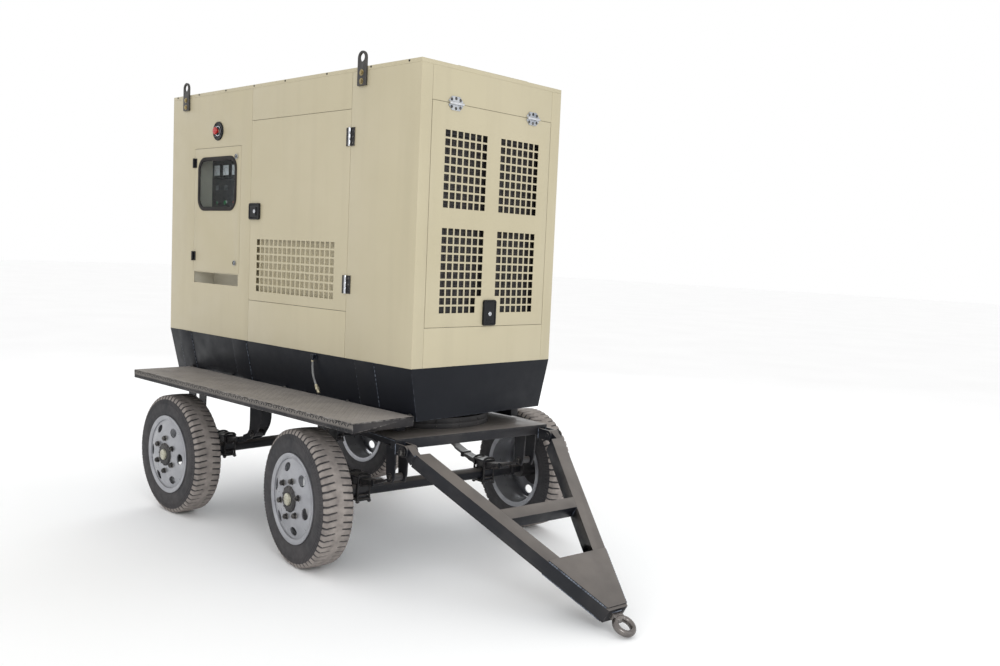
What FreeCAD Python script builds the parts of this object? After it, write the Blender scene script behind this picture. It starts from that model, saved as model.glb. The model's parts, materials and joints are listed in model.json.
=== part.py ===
import FreeCAD, Part
import math
import os
import re
from FreeCAD import Placement, Rotation, Vector

# Towable diesel generator. Millimetres, +X towards the drawbar, +Y to the left, +Z up,
# the ground at z = 0. Chassis, bogie and wheels are drawn with the turntable centre on the
# Z axis, and every finished piece is then moved forward by turntable_x, so that the origin
# lies under the middle of the whole machine.

SIZES = {
    "turntable_x": 191.28, "steer_rest": 7.5,
    "canopy_front": 459, "canopy_rear": -2081, "canopy_half": 539.5,
    "canopy_floor": 1121, "canopy_roof": 2694, "skin": 3, "roof_lip": 22,
    "door_rear": -1092, "door_front": -103, "door_low": 1378, "door_high": 2477,
    "seam": 2, "door_depth": 25, "corner_return": 77.5,
    "front_low": 1331, "front_high": 2497,
    "hole": 36, "side_pitch": 47, "front_pitch": 45.6,
    "panel_rear": -1778, "panel_front": -1212, "panel_low": 1532, "panel_high": 2332,
    "slot_low": 1455, "slot_high": 1526,
    "window_rear": -1733, "window_front": -1257, "window_low": 1929, "window_high": 2275,
    "window_round": 80,
    "hinge_out": 9, "hinge_pin": 4, "pin_play": 0.05,
    "hatch_pin_up": 7, "estop_x": -1487, "estop_up": 2436, "fuel_cap_x": -1790, "fuel_cap_up": 1250,
    "base_low": 843, "base_low_half": 478, "base_draft": 11, "base_wall": 5, "post_width": 165,
    "rail_low": 765, "rail_in": 415, "rail_out": 475, "rail_rear": -2040, "rail_front": 290,
    "ring_out": 360, "ring_in": 300, "ring_split": 782, "ring_top": 812, "ring_gap": 0.4,
    "board_out": 888, "board_in": 492, "board_rear": -1885, "board_front": 438,
    "board_top": 871, "board_depth": 52,
    "axle_up": 375, "rear_axle_x": -1481, "axle_tube": 35, "spindle": 30, "track_half": 771,
    "tyre_out": 375, "tyre_half": 92.5, "flange_out": 245, "bead": 222, "well": 205,
    "nut_circle": 104, "vent_circle": 172, "vent": 34,
    "spring_y": 445, "spring_half": 380, "spring_camber": 80, "spring_wide": 60, "leaf": 7,
    "bogie_top": 752, "bogie_front": 480, "bogie_half": 520, "bogie_plate": 8,
    "bogie_channel": 47, "drawbar_pin_x": 560, "drawbar_pin_up": 704, "pin": 15,
    "leg_top": 39, "leg_deep": 80, "leg_wide": 85, "leg_half": 530, "leg_half_tip": 61,
    "leg_start": 70, "drawbar_tip": 1204, "eye_reach": 1275, "eye_out": 60, "eye_in": 30,
    "eye_thick": 35, "hose": 12.5, "hose_fitting": 20,
    "engine_axis": 1450, "fan_up": 1640, "crank_pulley": 75, "fan_pulley": 70,
}

doc = FreeCAD.newDocument("towable_generator")
sheet = doc.addObject("Spreadsheet::Sheet", "dims")
for row, (alias, value) in enumerate(SIZES.items(), start=1):
    sheet.set(f"A{row}", alias)
    sheet.set(f"B{row}", str(value))
    sheet.setAlias(f"B{row}", alias)
doc.recompute()

WORD = re.compile(r"[a-z][a-z_]*")
FLAT_SIDES = {"x": Rotation(Vector(0, 1, 0), 90), "y": Rotation(Vector(1, 0, 0), -90), "z": Rotation()}
SUB_PARTS = []


def size(text):
    """The value in millimetres of an expression over the sheet's names."""
    total = WORD.sub(lambda word: f"dims.{word.group()}", str(text))
    value = sheet.evalExpression(total)
    return float(getattr(value, "Value", value))


def tie(item, prop, value):
    """Binds a property to a number or to an expression over the sheet's names."""
    item.setExpression(prop, WORD.sub(lambda word: f"dims.{word.group()}", str(value)))


def put(item, x, y, z):
    for axis, value in zip("xyz", (x, y, z)):
        tie(item, f"Placement.Base.{axis}", value)
    return item


def block(x, y, z, dx, dy, dz):
    """A box from its low corner and its three sides."""
    item = doc.addObject("Part::Box", "block")
    for prop, value in (("Length", dx), ("Width", dy), ("Height", dz)):
        tie(item, prop, value)
    return put(item, x, y, z)


def rod(x, y, z, radius, length, axis="z"):
    """A cylinder that starts at a point and runs along one axis."""
    item = doc.addObject("Part::Cylinder", "rod")
    tie(item, "Radius", radius)
    tie(item, "Height", length)
    item.Placement.Rotation = FLAT_SIDES[axis]
    return put(item, x, y, z)


def hexagon(x, y, z, radius, length, axis):
    item = doc.addObject("Part::Prism", "hexagon")
    item.Polygon = 6
    tie(item, "Circumradius", radius)
    tie(item, "Height", length)
    item.Placement.Rotation = FLAT_SIDES[axis]
    return put(item, x, y, z)


def fuse(*pieces):
    item = doc.addObject("Part::MultiFuse", "fuse")
    item.Shapes = list(pieces)
    return item


def cut(base, *tools):
    item = doc.addObject("Part::Cut", "cut")
    item.Base = base
    item.Tool = tools[0] if len(tools) == 1 else fuse(*tools)
    return item


def common(first, second):
    item = doc.addObject("Part::MultiCommon", "common")
    item.Shapes = [first, second]
    return item


def group(*pieces):
    """Pieces that stay separate solids side by side."""
    item = doc.addObject("Part::Compound", "group")
    item.Links = list(pieces)
    return item


def rounded_block(x, y, z, dx, dy, dz, radius):
    """A box whose four edges along Y are rounded."""
    base = block(x, y, z, dx, dy, dz)
    doc.recompute()
    item = doc.addObject("Part::Fillet", "rounded")
    item.Base = base
    along_y = [number for number, edge in enumerate(base.Shape.Edges, start=1)
               if abs(edge.tangentAt(edge.FirstParameter).y) > 0.9]
    item.Edges = [(number, size(radius), size(radius)) for number in along_y]
    return item


def origin_plane(body, role):
    return next(f for f in body.Origin.OriginFeatures if f.Role == role)


def sketch_on(body, role, loops):
    """A sketch of closed straight-sided loops on one of the body's own planes."""
    sketch = body.newObject("Sketcher::SketchObject", "outline")
    sketch.AttachmentSupport = [(origin_plane(body, role), "")]
    sketch.MapMode = "FlatFace"
    for loop in loops:
        points = [Vector(size(u), size(v), 0) for u, v in loop]
        for start, end in zip(points, points[1:] + points[:1]):
            sketch.addGeometry(Part.LineSegment(start, end), False)
    return sketch


def prism(outline, depth, role="XY_Plane"):
    """A flat outline made thick: upwards from XY, towards -Y from XZ."""
    body = doc.addObject("PartDesign::Body", "prism")
    pad = body.newObject("PartDesign::Pad", "thickness")
    pad.Profile = sketch_on(body, role, [outline])
    tie(pad, "Length", depth)
    body.Tip = pad
    return body


def turned(profile):
    """A solid turned about the Y axis from (radius, y) points."""
    body = doc.addObject("PartDesign::Body", "turned")
    sketch = sketch_on(body, "XY_Plane", [profile])
    turn = body.newObject("PartDesign::Revolution", "turn")
    turn.Profile = sketch
    turn.ReferenceAxis = (sketch, ["V_Axis"])
    turn.Angle = 360
    body.Tip = turn
    return body


def rectangle(u0, v0, u1, v1):
    return [(u0, v0), (u1, v0), (u1, v1), (u0, v1)]


def grille_sheet(u0, v0, u1, v1, fields, pitch):
    """A skin in the XZ plane with fields of square holes: (first u, first v, columns, rows)."""
    body = doc.addObject("PartDesign::Body", "grille_sheet")
    pad = body.newObject("PartDesign::Pad", "sheet")
    pad.Profile = sketch_on(body, "XZ_Plane", [rectangle(u0, v0, u1, v1)])
    tie(pad, "Length", "skin")
    doc.recompute()
    holes = 0
    for first_u, first_v, columns, rows in fields:
        corner = rectangle(first_u, first_v, f"{first_u} + hole", f"{first_v} + hole")
        sketch = sketch_on(body, "XZ_Plane", [corner])
        pocket = body.newObject("PartDesign::Pocket", "hole")
        pocket.Profile = sketch
        pocket.Midplane = True
        tie(pocket, "Length", "3 * skin")
        doc.recompute()
        field = body.newObject("PartDesign::LinearPattern", "holes")
        field.Originals = [pocket]
        field.Direction = (sketch, ["H_Axis"])
        field.Direction2 = (sketch, ["V_Axis"])
        for end, count in (("", columns), ("2", rows)):
            setattr(field, "Mode" + end, "Extent")
            setattr(field, "Occurrences" + end, count)
            tie(field, "Length" + end, f"{count - 1} * {pitch}")
        doc.recompute()
        body.Tip = field
        holes += columns * rows
    doc.recompute()
    skin = size("skin")
    full = (size(u1) - size(u0)) * (size(v1) - size(v0)) * skin
    missing = full - holes * size("hole") ** 2 * skin - body.Shape.Volume
    if abs(missing) > 1:
        raise RuntimeError(f"grille sheet lacks holes: {missing:.0f} mm3 left over")
    return body


def node(name, item, frame=None):
    """Names a finished sub-part and gives it its place in the machine."""
    if item.TypeId in ("Part::Box", "Part::Cylinder"):
        item = group(item)
    item.Label = name
    if frame:
        item.Placement = frame * item.Placement
    else:
        item.Placement.Base.x += size("turntable_x")
        tie(item, "Placement.Base.x", f"turntable_x + {item.Placement.Base.x - size('turntable_x')}")
    SUB_PARTS.append(item)
    return item


def bogie_frame_place():
    return Placement(Vector(size("turntable_x"), 0, 0), Rotation(Vector(0, 0, 1), -size("steer_rest")))


def drawbar_place():
    """The drawbar hangs from its pins until the tow eye's lowest edge touches the ground."""
    reach = size("eye_reach + eye_out")
    half = size("eye_thick / 2")
    droop = math.asin(size("drawbar_pin_up") / math.hypot(reach, half)) - math.atan2(half, reach)
    hang = Placement(Vector(size("drawbar_pin_x"), 0, size("drawbar_pin_up")),
                     Rotation(Vector(0, 1, 0), math.degrees(droop)))
    return bogie_frame_place() * hang


# ---------------------------------------------------------------- base and running gear

def tapered_slab(length_low, length_high, half_low, half_high, low, high, x_low, x_high):
    """A slab whose plan shrinks evenly towards the bottom."""
    item = doc.addObject("Part::Wedge", "taper")
    ties = {
        "Xmin": x_low, "Xmax": f"({x_low}) + ({length_low})", "Zmin": f"-({half_low})", "Zmax": half_low,
        "X2min": x_high, "X2max": f"({x_high}) + ({length_high})", "Z2min": f"-({half_high})",
        "Z2max": half_high, "Ymin": low, "Ymax": high,
    }
    for prop, value in ties.items():
        tie(item, prop, value)
    item.Placement.Rotation = Rotation(Vector(1, 0, 0), 90)
    return item


POST_EDGES = (-1798, -1110, 154)


def skirt_core():
    """The space the skirt fills, run on past both its ends, for trimming what is fitted outside it."""
    length = "canopy_front - canopy_rear"
    return tapered_slab(length, length, "base_low_half", "canopy_half", "base_low", "canopy_floor",
                        "canopy_rear - 50", "canopy_rear - 50")


def base_frame():
    """The fabricated base: a tapered skirt with a deck, the fuel tank inside, and six posts."""
    length = "canopy_front - canopy_rear"
    skirt = tapered_slab(f"{length} - 2 * base_draft", length, "base_low_half", "canopy_half",
                         "base_low", "canopy_floor", "canopy_rear + base_draft", "canopy_rear")
    inside = tapered_slab(f"{length} - 2 * base_draft - 2 * base_wall", f"{length} - 2 * base_wall",
                          "base_low_half - base_wall", "canopy_half - base_wall",
                          "base_low - 1", "canopy_floor - base_wall",
                          "canopy_rear + base_draft + base_wall", "canopy_rear + base_wall")
    shell = cut(skirt, inside)
    tank = cut(block("canopy_rear + 120", -430, "base_low + 4", 1500, 860, 240),
               block("canopy_rear + 124", -426, "base_low + 8", 1492, 852, 232),
               rod("canopy_rear + 220", 330, "canopy_floor - 60", 30, 60))
    posts = []
    for right_edge in POST_EDGES:
        bar = tapered_slab("post_width", "post_width", "base_low_half + 3", "canopy_half + 3",
                           "base_low + 2", "canopy_floor", f"{right_edge} - post_width",
                           f"{right_edge} - post_width")
        posts.append(cut(bar, skirt_core()))
    gland = cut(fuse(block(-397, -557, 1085, 24, 30, 26), rod(-385, -548, 1079, 9, 8)), skirt_core())
    node("base_frame", group(shell, tank, *posts, gland))


def main_frame():
    high = "base_low - rail_low"
    rails = [block("rail_rear", y, "rail_low", "rail_front - rail_rear", "rail_out - rail_in", high)
             for y in ("rail_in", "-rail_out")]
    members = [block(x, "-rail_in", "rail_low + 10", 60, "2 * rail_in", f"{high} - 10")
               for x in (-2000, -1700, -1200, -700)]
    ring_seats = [block(x, "-rail_in", "ring_top", 80, "2 * rail_in", "base_low - ring_top")
                  for x in (-280, 200)]
    node("main_frame", group(*rails, *members, *ring_seats))


def turntable():
    upper = cut(rod(0, 0, "ring_split + ring_gap", "ring_out", "ring_top - ring_split - ring_gap"),
                rod(0, 0, "ring_split", "ring_in - 16", 60))
    lip = cut(rod(0, 0, "bogie_top + 5", "ring_in - ring_gap", "ring_split - bogie_top - 5"),
              rod(0, 0, "bogie_top", "ring_in - 16", 60))
    joint = cut(rod(0, 0, "ring_split", "ring_in - ring_gap", "ring_gap"),
                rod(0, 0, "bogie_top", "ring_in - 16", 60))
    node("upper_ring", fuse(upper, lip, joint))
    lower = cut(rod(0, 0, "bogie_top", "ring_out", "ring_split - bogie_top"),
                rod(0, 0, "bogie_top - 1", "ring_in", 60))
    node("lower_ring", lower, bogie_frame_place())


def running_board():
    """Chequer-plate walkway under the control side, with a folded edge and four brackets."""
    wide = "board_out - board_in"
    long = "board_front - board_rear"
    plate = block("board_rear", "-board_out", "board_top - 4", long, wide, 4)
    fascia = block("board_rear", "-board_out", "board_top - board_depth", long, 4, "board_depth - 4")
    ends = [block(x, "-board_out + 4", "board_top - board_depth", 4, f"{wide} - 4", "board_depth - 4")
            for x in ("board_rear", "board_front - 4")]
    arms = [block(x, "-board_out + 4", "board_top - 34", 50, "board_out - 4 - rail_out", 20)
            for x in (-1800, -1150, -560, 60)]
    arms = [cut(arm, block("board_rear", -485, "base_low", long, 30, 40)) for arm in arms]
    node("running_board", group(plate, fascia, *ends, *arms))


def axle(name, x, frame=None):
    tube = rod(x, -640, "axle_up", "axle_tube", 1280, "y")
    spindles = [rod(x, y, "axle_up", "spindle", "track_half + 84 - 640", "y")
                for y in (640, "-track_half - 84")]
    node(name, group(tube, *spindles), frame)


def cranked_hanger(x, low_y, top):
    """A thick curved bracket from the frame down round the spring's front eye."""
    cheek = [(476, top), (476, 640), (460, 588), (430, 547), (400, 514), (360, 492), (300, 474), (270, 466),
             (270, 502), (318, 520), (340, 548), (345, 600), (345, top)]
    cheeks = [put(prism(cheek, 7, "XZ_Plane"), x, y, 0) for y in (f"{low_y} - 1", f"{low_y} + spring_wide + 8")]
    webs = [block(f"{x} + {start}", f"{low_y} - 1", low, end - start, "spring_wide + 2", f"{top} - {low}")
            for start, end, low in ((345, 450, 570), (450, 476, 640))]
    return fuse(*cheeks, *webs)


def leaf_springs(name, x, top, cranked=False, frame=None):
    """Two leaf packs with eyes, hangers up to the frame, seats and clamping bolts."""
    radius = "((spring_half * spring_half + spring_camber * spring_camber) / (2 * spring_camber))"
    pieces = []
    for y in ("spring_y", "-spring_y"):
        low_y = f"{y} - spring_wide / 2"
        for step, half in enumerate(("spring_half - 16", "300", "220", "150", "90")):
            ring = cut(rod(x, low_y, f"450 + {radius}", f"{radius} + {step + 1} * leaf", "spring_wide", "y"),
                       rod(x, low_y, f"450 + {radius}", f"{radius} + {step} * leaf", "spring_wide", "y"))
            leaf = common(ring, block(f"{x} - ({half})", low_y, 380, f"2 * ({half})", "spring_wide", 200))
            if step == 0:
                eyes = [rod(f"{x} {sign} spring_half", low_y, 528, 20, "spring_wide", "y")
                        for sign in "+-"]
                leaf = fuse(leaf, *eyes)
            pieces.append(leaf)
        for sign in "+-":
            if cranked and sign == "+":
                pieces.append(cranked_hanger(x, low_y, top))
            else:
                pieces += [block(f"{x} {sign} spring_half - 24", side_y, 500, 48, 7, f"{top} - 500")
                           for side_y in (f"{low_y} - 8", f"{low_y} + spring_wide + 1")]
            for bolt_y in (f"{low_y} - 17", f"{low_y} + spring_wide + 8"):
                pieces.append(hexagon(f"{x} {sign} spring_half", bolt_y, 528, 14, 9, "y"))
            for rod_y in (f"{low_y} - 7", f"{low_y} + spring_wide + 7"):
                pieces.append(rod(f"{x} {sign} 48", rod_y, 334, 6, 120))
        seat = cut(block(f"{x} - 40", low_y, "axle_up", 80, "spring_wide", "415 - axle_up"),
                   rod(x, f"{low_y} - 5", "axle_up", "axle_tube", 80, "y"),
                   rod(x, f"{low_y} - 5", f"450 + {radius}", f"{radius} + 5 * leaf", 80, "y"))
        pieces.append(seat)
        pieces.append(block(f"{x} - 60", f"{low_y} - 16", 324, 120, "spring_wide + 32", 10))
        pieces.append(block(f"{x} - 60", f"{low_y} - 16", 454, 120, "spring_wide + 32", 10))
    node(name, group(*pieces), frame)


def tyre_profile():
    """Outer and inner walls of the tyre as (radius, y) corners, one half mirrored."""
    outer = [("bead", 60), ("bead", "tyre_half - 7"), ("flange_out + 2", "tyre_half - 6.8"),
             ("flange_out + 28", "tyre_half - 1.5"), ("flange_out + 55", "tyre_half"),
             ("flange_out + 85", "tyre_half - 1.5"), ("tyre_out - 26", "tyre_half - 6"),
             ("tyre_out - 12", "tyre_half - 12"), ("tyre_out - 3", "tyre_half - 22"), ("tyre_out", 52)]
    inner = [("bead + 24", 62), ("flange_out + 50", 78), ("tyre_out - 30", 68)]
    mirrored = [(r, f"-({y})") for r, y in reversed(outer)]
    hollow = [(r, f"-({y})") for r, y in inner] + list(reversed(inner))
    return outer + mirrored + hollow


def rim_profile():
    """Rim, drop centre and outward-domed disc in one section, outboard side towards +Y."""
    return [
        ("flange_out", 92), ("flange_out", 86), ("bead", 85.8), ("bead", 56), ("well", 44),
        ("well", -20), ("bead", -56), ("bead", -85.8), ("flange_out", -86), ("flange_out", -92),
        ("bead - 6", -92), ("bead - 6", -58), ("well - 6", -24), ("well - 6", 46),
        ("bead - 6", 58), ("bead - 6", 76), (200, 82), (172, 92), (142, 97), (72, 97), (72, 103),
        (143, 103), (174, 98), (203, 88), ("bead - 6", 84), ("bead - 6", 92),
    ]


def hub_profile():
    return [("spindle + pin_play", -50), (60, -50), (60, 85), (125, 85), (125, 97), (71.5, 97),
            (71.5, 109), (62, 113), (33, 113), (33, 120), (26, 124), (12, 125), (0, 125), (0, 90),
            ("spindle + pin_play", 90)]


def around(count, radius, phase=0.0):
    for step in range(count):
        angle = phase + 2 * math.pi * step / count
        yield round(radius * math.cos(angle), 3), round(radius * math.sin(angle), 3)


def wheel(end, side, x, frame=None):
    """One wheel, drawn at the origin with +Y outboard, then carried to its hub."""
    turn = Rotation(Vector(0, 0, 1), 0 if side == "left" else 180)
    out = 1 if side == "left" else -1
    shift = frame or Placement(Vector(size("turntable_x"), 0, 0), Rotation())
    hub_place = shift * Placement(Vector(size(x), out * size("track_half"), size("axle_up")), turn)
    node(f"{end}_{side}_tyre", turned(tyre_profile()), hub_place)
    vents = [rod(u, 60, w, "vent", 60, "y") for u, w in around(6, size("vent_circle"), math.pi / 6)]
    rim = cut(turned(rim_profile()), *vents)
    nuts = [hexagon(u, 103, w, 15, 17, "y") for u, w in around(6, size("nut_circle"))]
    studs = [rod(u, 120, w, 8, 5, "y") for u, w in around(6, size("nut_circle"))]
    node(f"{end}_{side}_wheel", group(rim, turned(hub_profile()), *nuts, *studs), hub_place)


# ---------------------------------------------------------------- bogie and drawbar

def bogie_frame():
    """Steered sub-frame: plate, box channels, and a forked ear with a pin at each front corner."""
    under = "bogie_top - bogie_plate"
    low = f"{under} - bogie_channel"
    plate = block("-bogie_front", "-bogie_half", under, "2 * bogie_front", "2 * bogie_half", "bogie_plate")
    ends = [block(x, "-bogie_half", low, 55, "2 * bogie_half", "bogie_channel")
            for x in ("bogie_front - 55", "-bogie_front")]
    sides = [block("-bogie_front + 55", y, low, "2 * bogie_front - 110", 70, "bogie_channel")
             for y in (410, -480)]
    pieces = [plate, *ends, *sides]
    for y in (455, 513, -467, -525):
        ear = fuse(block("bogie_front", y, 674, "drawbar_pin_x - bogie_front", 12, 60),
                   rod("drawbar_pin_x", y, "drawbar_pin_up", 30, 12, "y"))
        pieces.append(cut(ear, rod("drawbar_pin_x", f"{y} - 2", "drawbar_pin_up", "pin", 16, "y")))
    for y in (450, -530):
        pieces.append(rod("drawbar_pin_x", y, "drawbar_pin_up", "pin", 80, "y"))
    for y in (530, -536):
        pieces.append(rod("drawbar_pin_x", y, "drawbar_pin_up", 21, 6, "y"))
    node("bogie_frame", group(*pieces), bogie_frame_place())


def leg_edge(reach, inset=0):
    """Half-width of the drawbar at a distance from the pins, measured to a leg's outer edge."""
    return f"leg_half - (leg_half - leg_half_tip) * ({reach}) / drawbar_tip - ({inset})"


def drawbar_frame():
    """A-frame: two tapering legs, a cross-member, and gusset plates over and under the tip."""
    low = "leg_top - leg_deep"
    meet = "(leg_half - leg_wide) / (leg_half - leg_half_tip) * drawbar_tip"
    leg = [("leg_start", leg_edge("leg_start")), ("drawbar_tip", "leg_half_tip"), ("drawbar_tip", 0),
           (meet, 0), ("leg_start", leg_edge("leg_start", "leg_wide"))]
    brace = [("508", leg_edge(508, "leg_wide")), ("577", leg_edge(577, "leg_wide"))]
    brace += [(u, f"-({v})") for u, v in reversed(brace)]
    gusset = [("865", leg_edge(865, 4)), ("1190", leg_edge(1190, 4))]
    gusset += [(u, f"-({v})") for u, v in reversed(gusset)]
    pieces = []
    for flip in ("", "-"):
        pieces.append(put(prism([(u, f"{flip}({v})") for u, v in leg], "leg_deep"), 0, 0, low))
        start = 467.5 if not flip else -512.5
        lug = fuse(block(0, start, -30, "leg_start", 45, 60), rod(0, start, 0, 30, 45, "y"))
        pieces.append(cut(lug, rod(0, start - 2, 0, "pin + pin_play", 49, "y")))
    pieces.append(put(prism(brace, "leg_deep - 10"), 0, 0, f"{low} + 10"))
    pieces.append(put(prism(gusset, 7), 0, 0, "leg_top"))
    pieces.append(put(prism(gusset, 7), 0, 0, f"{low} - 7"))
    node("drawbar_frame", group(*pieces), drawbar_place())


def tow_eye():
    shank = block("drawbar_tip", -28, "-eye_thick / 2", "eye_reach - drawbar_tip", 56, "eye_thick")
    ring = rod("eye_reach", 0, "-eye_thick / 2", "eye_out", "eye_thick")
    bore = rod("eye_reach", 0, "-eye_thick", "eye_in", "2 * eye_thick")
    node("tow_eye", cut(fuse(shank, ring), bore), drawbar_place())


# ---------------------------------------------------------------- canopy

def corner_panels():
    """Front side panels, folded round the front corners."""
    high = "canopy_roof - roof_lip - canopy_floor"
    for side, out in (("right", -1), ("left", 1)):
        y = "-canopy_half" if out < 0 else "canopy_half - skin"
        fold_y = "-canopy_half" if out < 0 else "canopy_half - corner_return"
        face = block("door_front + seam / 2", y, "canopy_floor", "canopy_front - door_front - seam / 2",
                     "skin", high)
        fold = block("canopy_front - skin", fold_y, "canopy_floor", "skin", "corner_return", high)
        node(f"{side}_front_panel", fuse(face, fold))


def rear_side_panels():
    """Rear side panels; the right one is open for the control door and the cable slot."""
    high = "canopy_roof - roof_lip - canopy_floor"
    long = "door_rear - seam / 2 - canopy_rear"
    right = block("canopy_rear", "-canopy_half", "canopy_floor", long, "skin", high)
    door_hole = block("panel_rear - seam", "-canopy_half - 5", "panel_low - seam",
                      "panel_front - panel_rear + 2 * seam", 20, "panel_high - panel_low + 2 * seam")
    slot_hole = block("panel_rear + 10", "-canopy_half - 5", "slot_low",
                      "panel_front - panel_rear - 20", 20, "slot_high - slot_low")
    node("right_rear_panel", cut(right, door_hole, slot_hole))
    node("left_rear_panel", block("canopy_rear", "canopy_half - skin", "canopy_floor", long, "skin", high))


def canopy_frame():
    """Lintels and sills around the doors, and the posts that the panels and doors hang on."""
    top = "canopy_roof - roof_lip"
    long = "door_front - door_rear - seam"
    pieces = []
    for y in ("-canopy_half", "canopy_half - skin"):
        pieces.append(block("door_rear + seam / 2", y, "door_high + seam / 2", long, "skin",
                            f"{top} - door_high - seam / 2"))
        pieces.append(block("door_rear + seam / 2", y, "canopy_floor", long, "skin",
                            "door_low - seam / 2 - canopy_floor"))
    for y in ("-canopy_half + skin", "canopy_half - skin - 34"):
        for x in ("door_rear - 42", "door_front + 2"):
            pieces.append(block(x, y, "canopy_floor", 40, 34, f"{top} - canopy_floor"))
    half = "canopy_half - corner_return - seam / 2"
    pieces.append(block("canopy_front - skin", f"-({half})", "front_high + seam / 2", "skin", f"2 * ({half})",
                        f"{top} - front_high - seam / 2"))
    pieces.append(block("canopy_front - skin", f"-({half})", "canopy_floor", "skin", f"2 * ({half})",
                        "front_low - seam / 2 - canopy_floor"))
    for y in ("-canopy_half + corner_return - 32", "canopy_half - corner_return + 2"):
        pieces.append(block("canopy_front - skin - 34", y, "canopy_floor", 34, 30, f"{top} - canopy_floor"))
    node("canopy_frame", group(*pieces))


def rear_panel():
    """Rear wall with two fields of air-inlet holes."""
    half = "canopy_half - skin"
    fields = [(-362, 1406, 7, 10), (52, 1406, 7, 10)]
    wall = grille_sheet(f"-({half})", "canopy_floor", half, "canopy_roof - roof_lip", fields, "front_pitch")
    wall.Placement.Rotation = Rotation(Vector(0, 0, 1), -90)
    tie(wall, "Placement.Base.x", "canopy_rear + skin")
    node("rear_panel", group(wall))


def roof_panel():
    """Roof tray with turned-down lips and an opening under the hatch."""
    long = "canopy_front - canopy_rear"
    wide = "2 * canopy_half"
    outer = block("canopy_rear", "-canopy_half", "canopy_roof - roof_lip", long, wide, "roof_lip")
    inner = block("canopy_rear + skin", "-canopy_half + skin", "canopy_roof - roof_lip - 1",
                  f"{long} - 2 * skin", f"{wide} - 2 * skin", "roof_lip - skin + 1")
    node("roof_panel", cut(outer, inner, block(90, -222, 2650, 300, 480, 60)))


def roof_hatch():
    """Lift-up cover over the radiator filler, with its hinge barrel along the rear edge."""
    lid = cut(block(60, -252, "canopy_roof + 1", 360, 541, 11), block(64, -248, "canopy_roof", 352, 533, 8))
    barrel = rod(57, -252, "canopy_roof + hatch_pin_up", 5, 541, "y")
    node("roof_hatch", fuse(lid, barrel))


LUG_PLACES = (-1895, -12)
ROOF_SCREWS = (-2024, -1741, -1407, -1079, -746, -337, 53, 361)


def lifting_lugs():
    """Flat bars bolted outside the frame, each with an eye for a shackle."""
    bars = []
    for x in LUG_PLACES:
        for y in ("-canopy_half - 12", "canopy_half"):
            bar = fuse(block(f"{x} - 37", y, 2592, 74, 12, 146), rod(x, y, 2738, 37, 12, "y"))
            bars.append(cut(bar, rod(x, f"{y} - 4", 2740, 22, 20, "y")))
    node("lifting_lugs", group(*bars))


def canopy_fasteners():
    """Roof screws, lifting-lug bolts and the fixed hinge screws."""
    pieces = []
    for x in ROOF_SCREWS:
        for y in ("-canopy_half - 3", "canopy_half"):
            pieces.append(rod(x, y, "canopy_roof - 8", 6, 3, "y"))
    for x in LUG_PLACES:
        for y in ("-canopy_half - 20", "canopy_half + 12"):
            for z in (2614, 2660):
                pieces.append(hexagon(x, y, z, 11, 8, "y"))
    node("canopy_fasteners", group(*pieces))


HINGE_SPAN = 100
CONTROL_HINGE_SPAN = 60


def knuckles(x, y, z, axis, span, moving):
    """The barrel of a hinge: the middle third moves, the outer thirds and the pin stay."""
    third = span / 3
    along = "xyz".index(axis)
    pieces = []

    def at(offset):
        place = [x, y, z]
        place[along] = f"{place[along]} + {offset}"
        return place

    if moving:
        barrel = rod(*at(third + 0.4), "hinge_pin + 3.5", third - 0.8, axis)
        bore = rod(*at(0), "hinge_pin + pin_play", span, axis)
        return [cut(barrel, bore)]
    for start in (0, 2 * third):
        barrel = rod(*at(start), "hinge_pin + 3.5", third, axis)
        pieces.append(cut(barrel, rod(*at(-2), "hinge_pin", span + 4, axis)))
    pieces.append(rod(*at(-1), "hinge_pin", span + 2, axis))
    return pieces


def side_hinge(out, x, z, moving, span=HINGE_SPAN, leaf=30):
    """A hinge with an upright pin, just outside the skin; the moving leaf points towards -X."""
    axis_y = "-canopy_half - hinge_out" if out < 0 else "canopy_half + hinge_out"
    pieces = knuckles(x, axis_y, z, "z", span, moving)
    leaf_y = "-canopy_half - 4" if out < 0 else "canopy_half"
    leaf_x = f"{x} - {leaf} - 6" if moving else f"{x} + 6"
    pieces.append(block(leaf_x, leaf_y, z, leaf, 4, span))
    return pieces


def control_hinge(z, moving):
    """The control door's hinge: its moving leaf points towards +X."""
    x = "panel_rear - seam / 2"
    pieces = knuckles(x, "-canopy_half - hinge_out", z, "z", CONTROL_HINGE_SPAN, moving)
    leaf_x = f"{x} + 6" if moving else f"{x} - 26"
    pieces.append(block(leaf_x, "-canopy_half - 4", z, 20, 4, CONTROL_HINGE_SPAN))
    return pieces


def front_hinge(y, moving):
    """A hinge with a level pin along the top seam of the front door."""
    x, z = "canopy_front + hinge_out", "front_high"
    pieces = knuckles(x, y, z, "y", HINGE_SPAN, moving)
    leaf_z = f"{z} - 36" if moving else f"{z} + 6"
    pieces.append(block("canopy_front", y, leaf_z, 4, HINGE_SPAN, 30))
    return pieces


SIDE_HINGES = (1477, 2278)
CONTROL_HINGES = (1600, 2212)
FRONT_HINGES = (-350, 250)


def hinge_leaves():
    pieces = []
    for z in SIDE_HINGES:
        for out in (-1, 1):
            pieces += side_hinge(out, "door_front", z, False)
    for z in CONTROL_HINGES:
        pieces += control_hinge(z, False)
    for y in FRONT_HINGES:
        pieces += front_hinge(y, False)
    node("hinge_leaves", group(*pieces))


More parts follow.
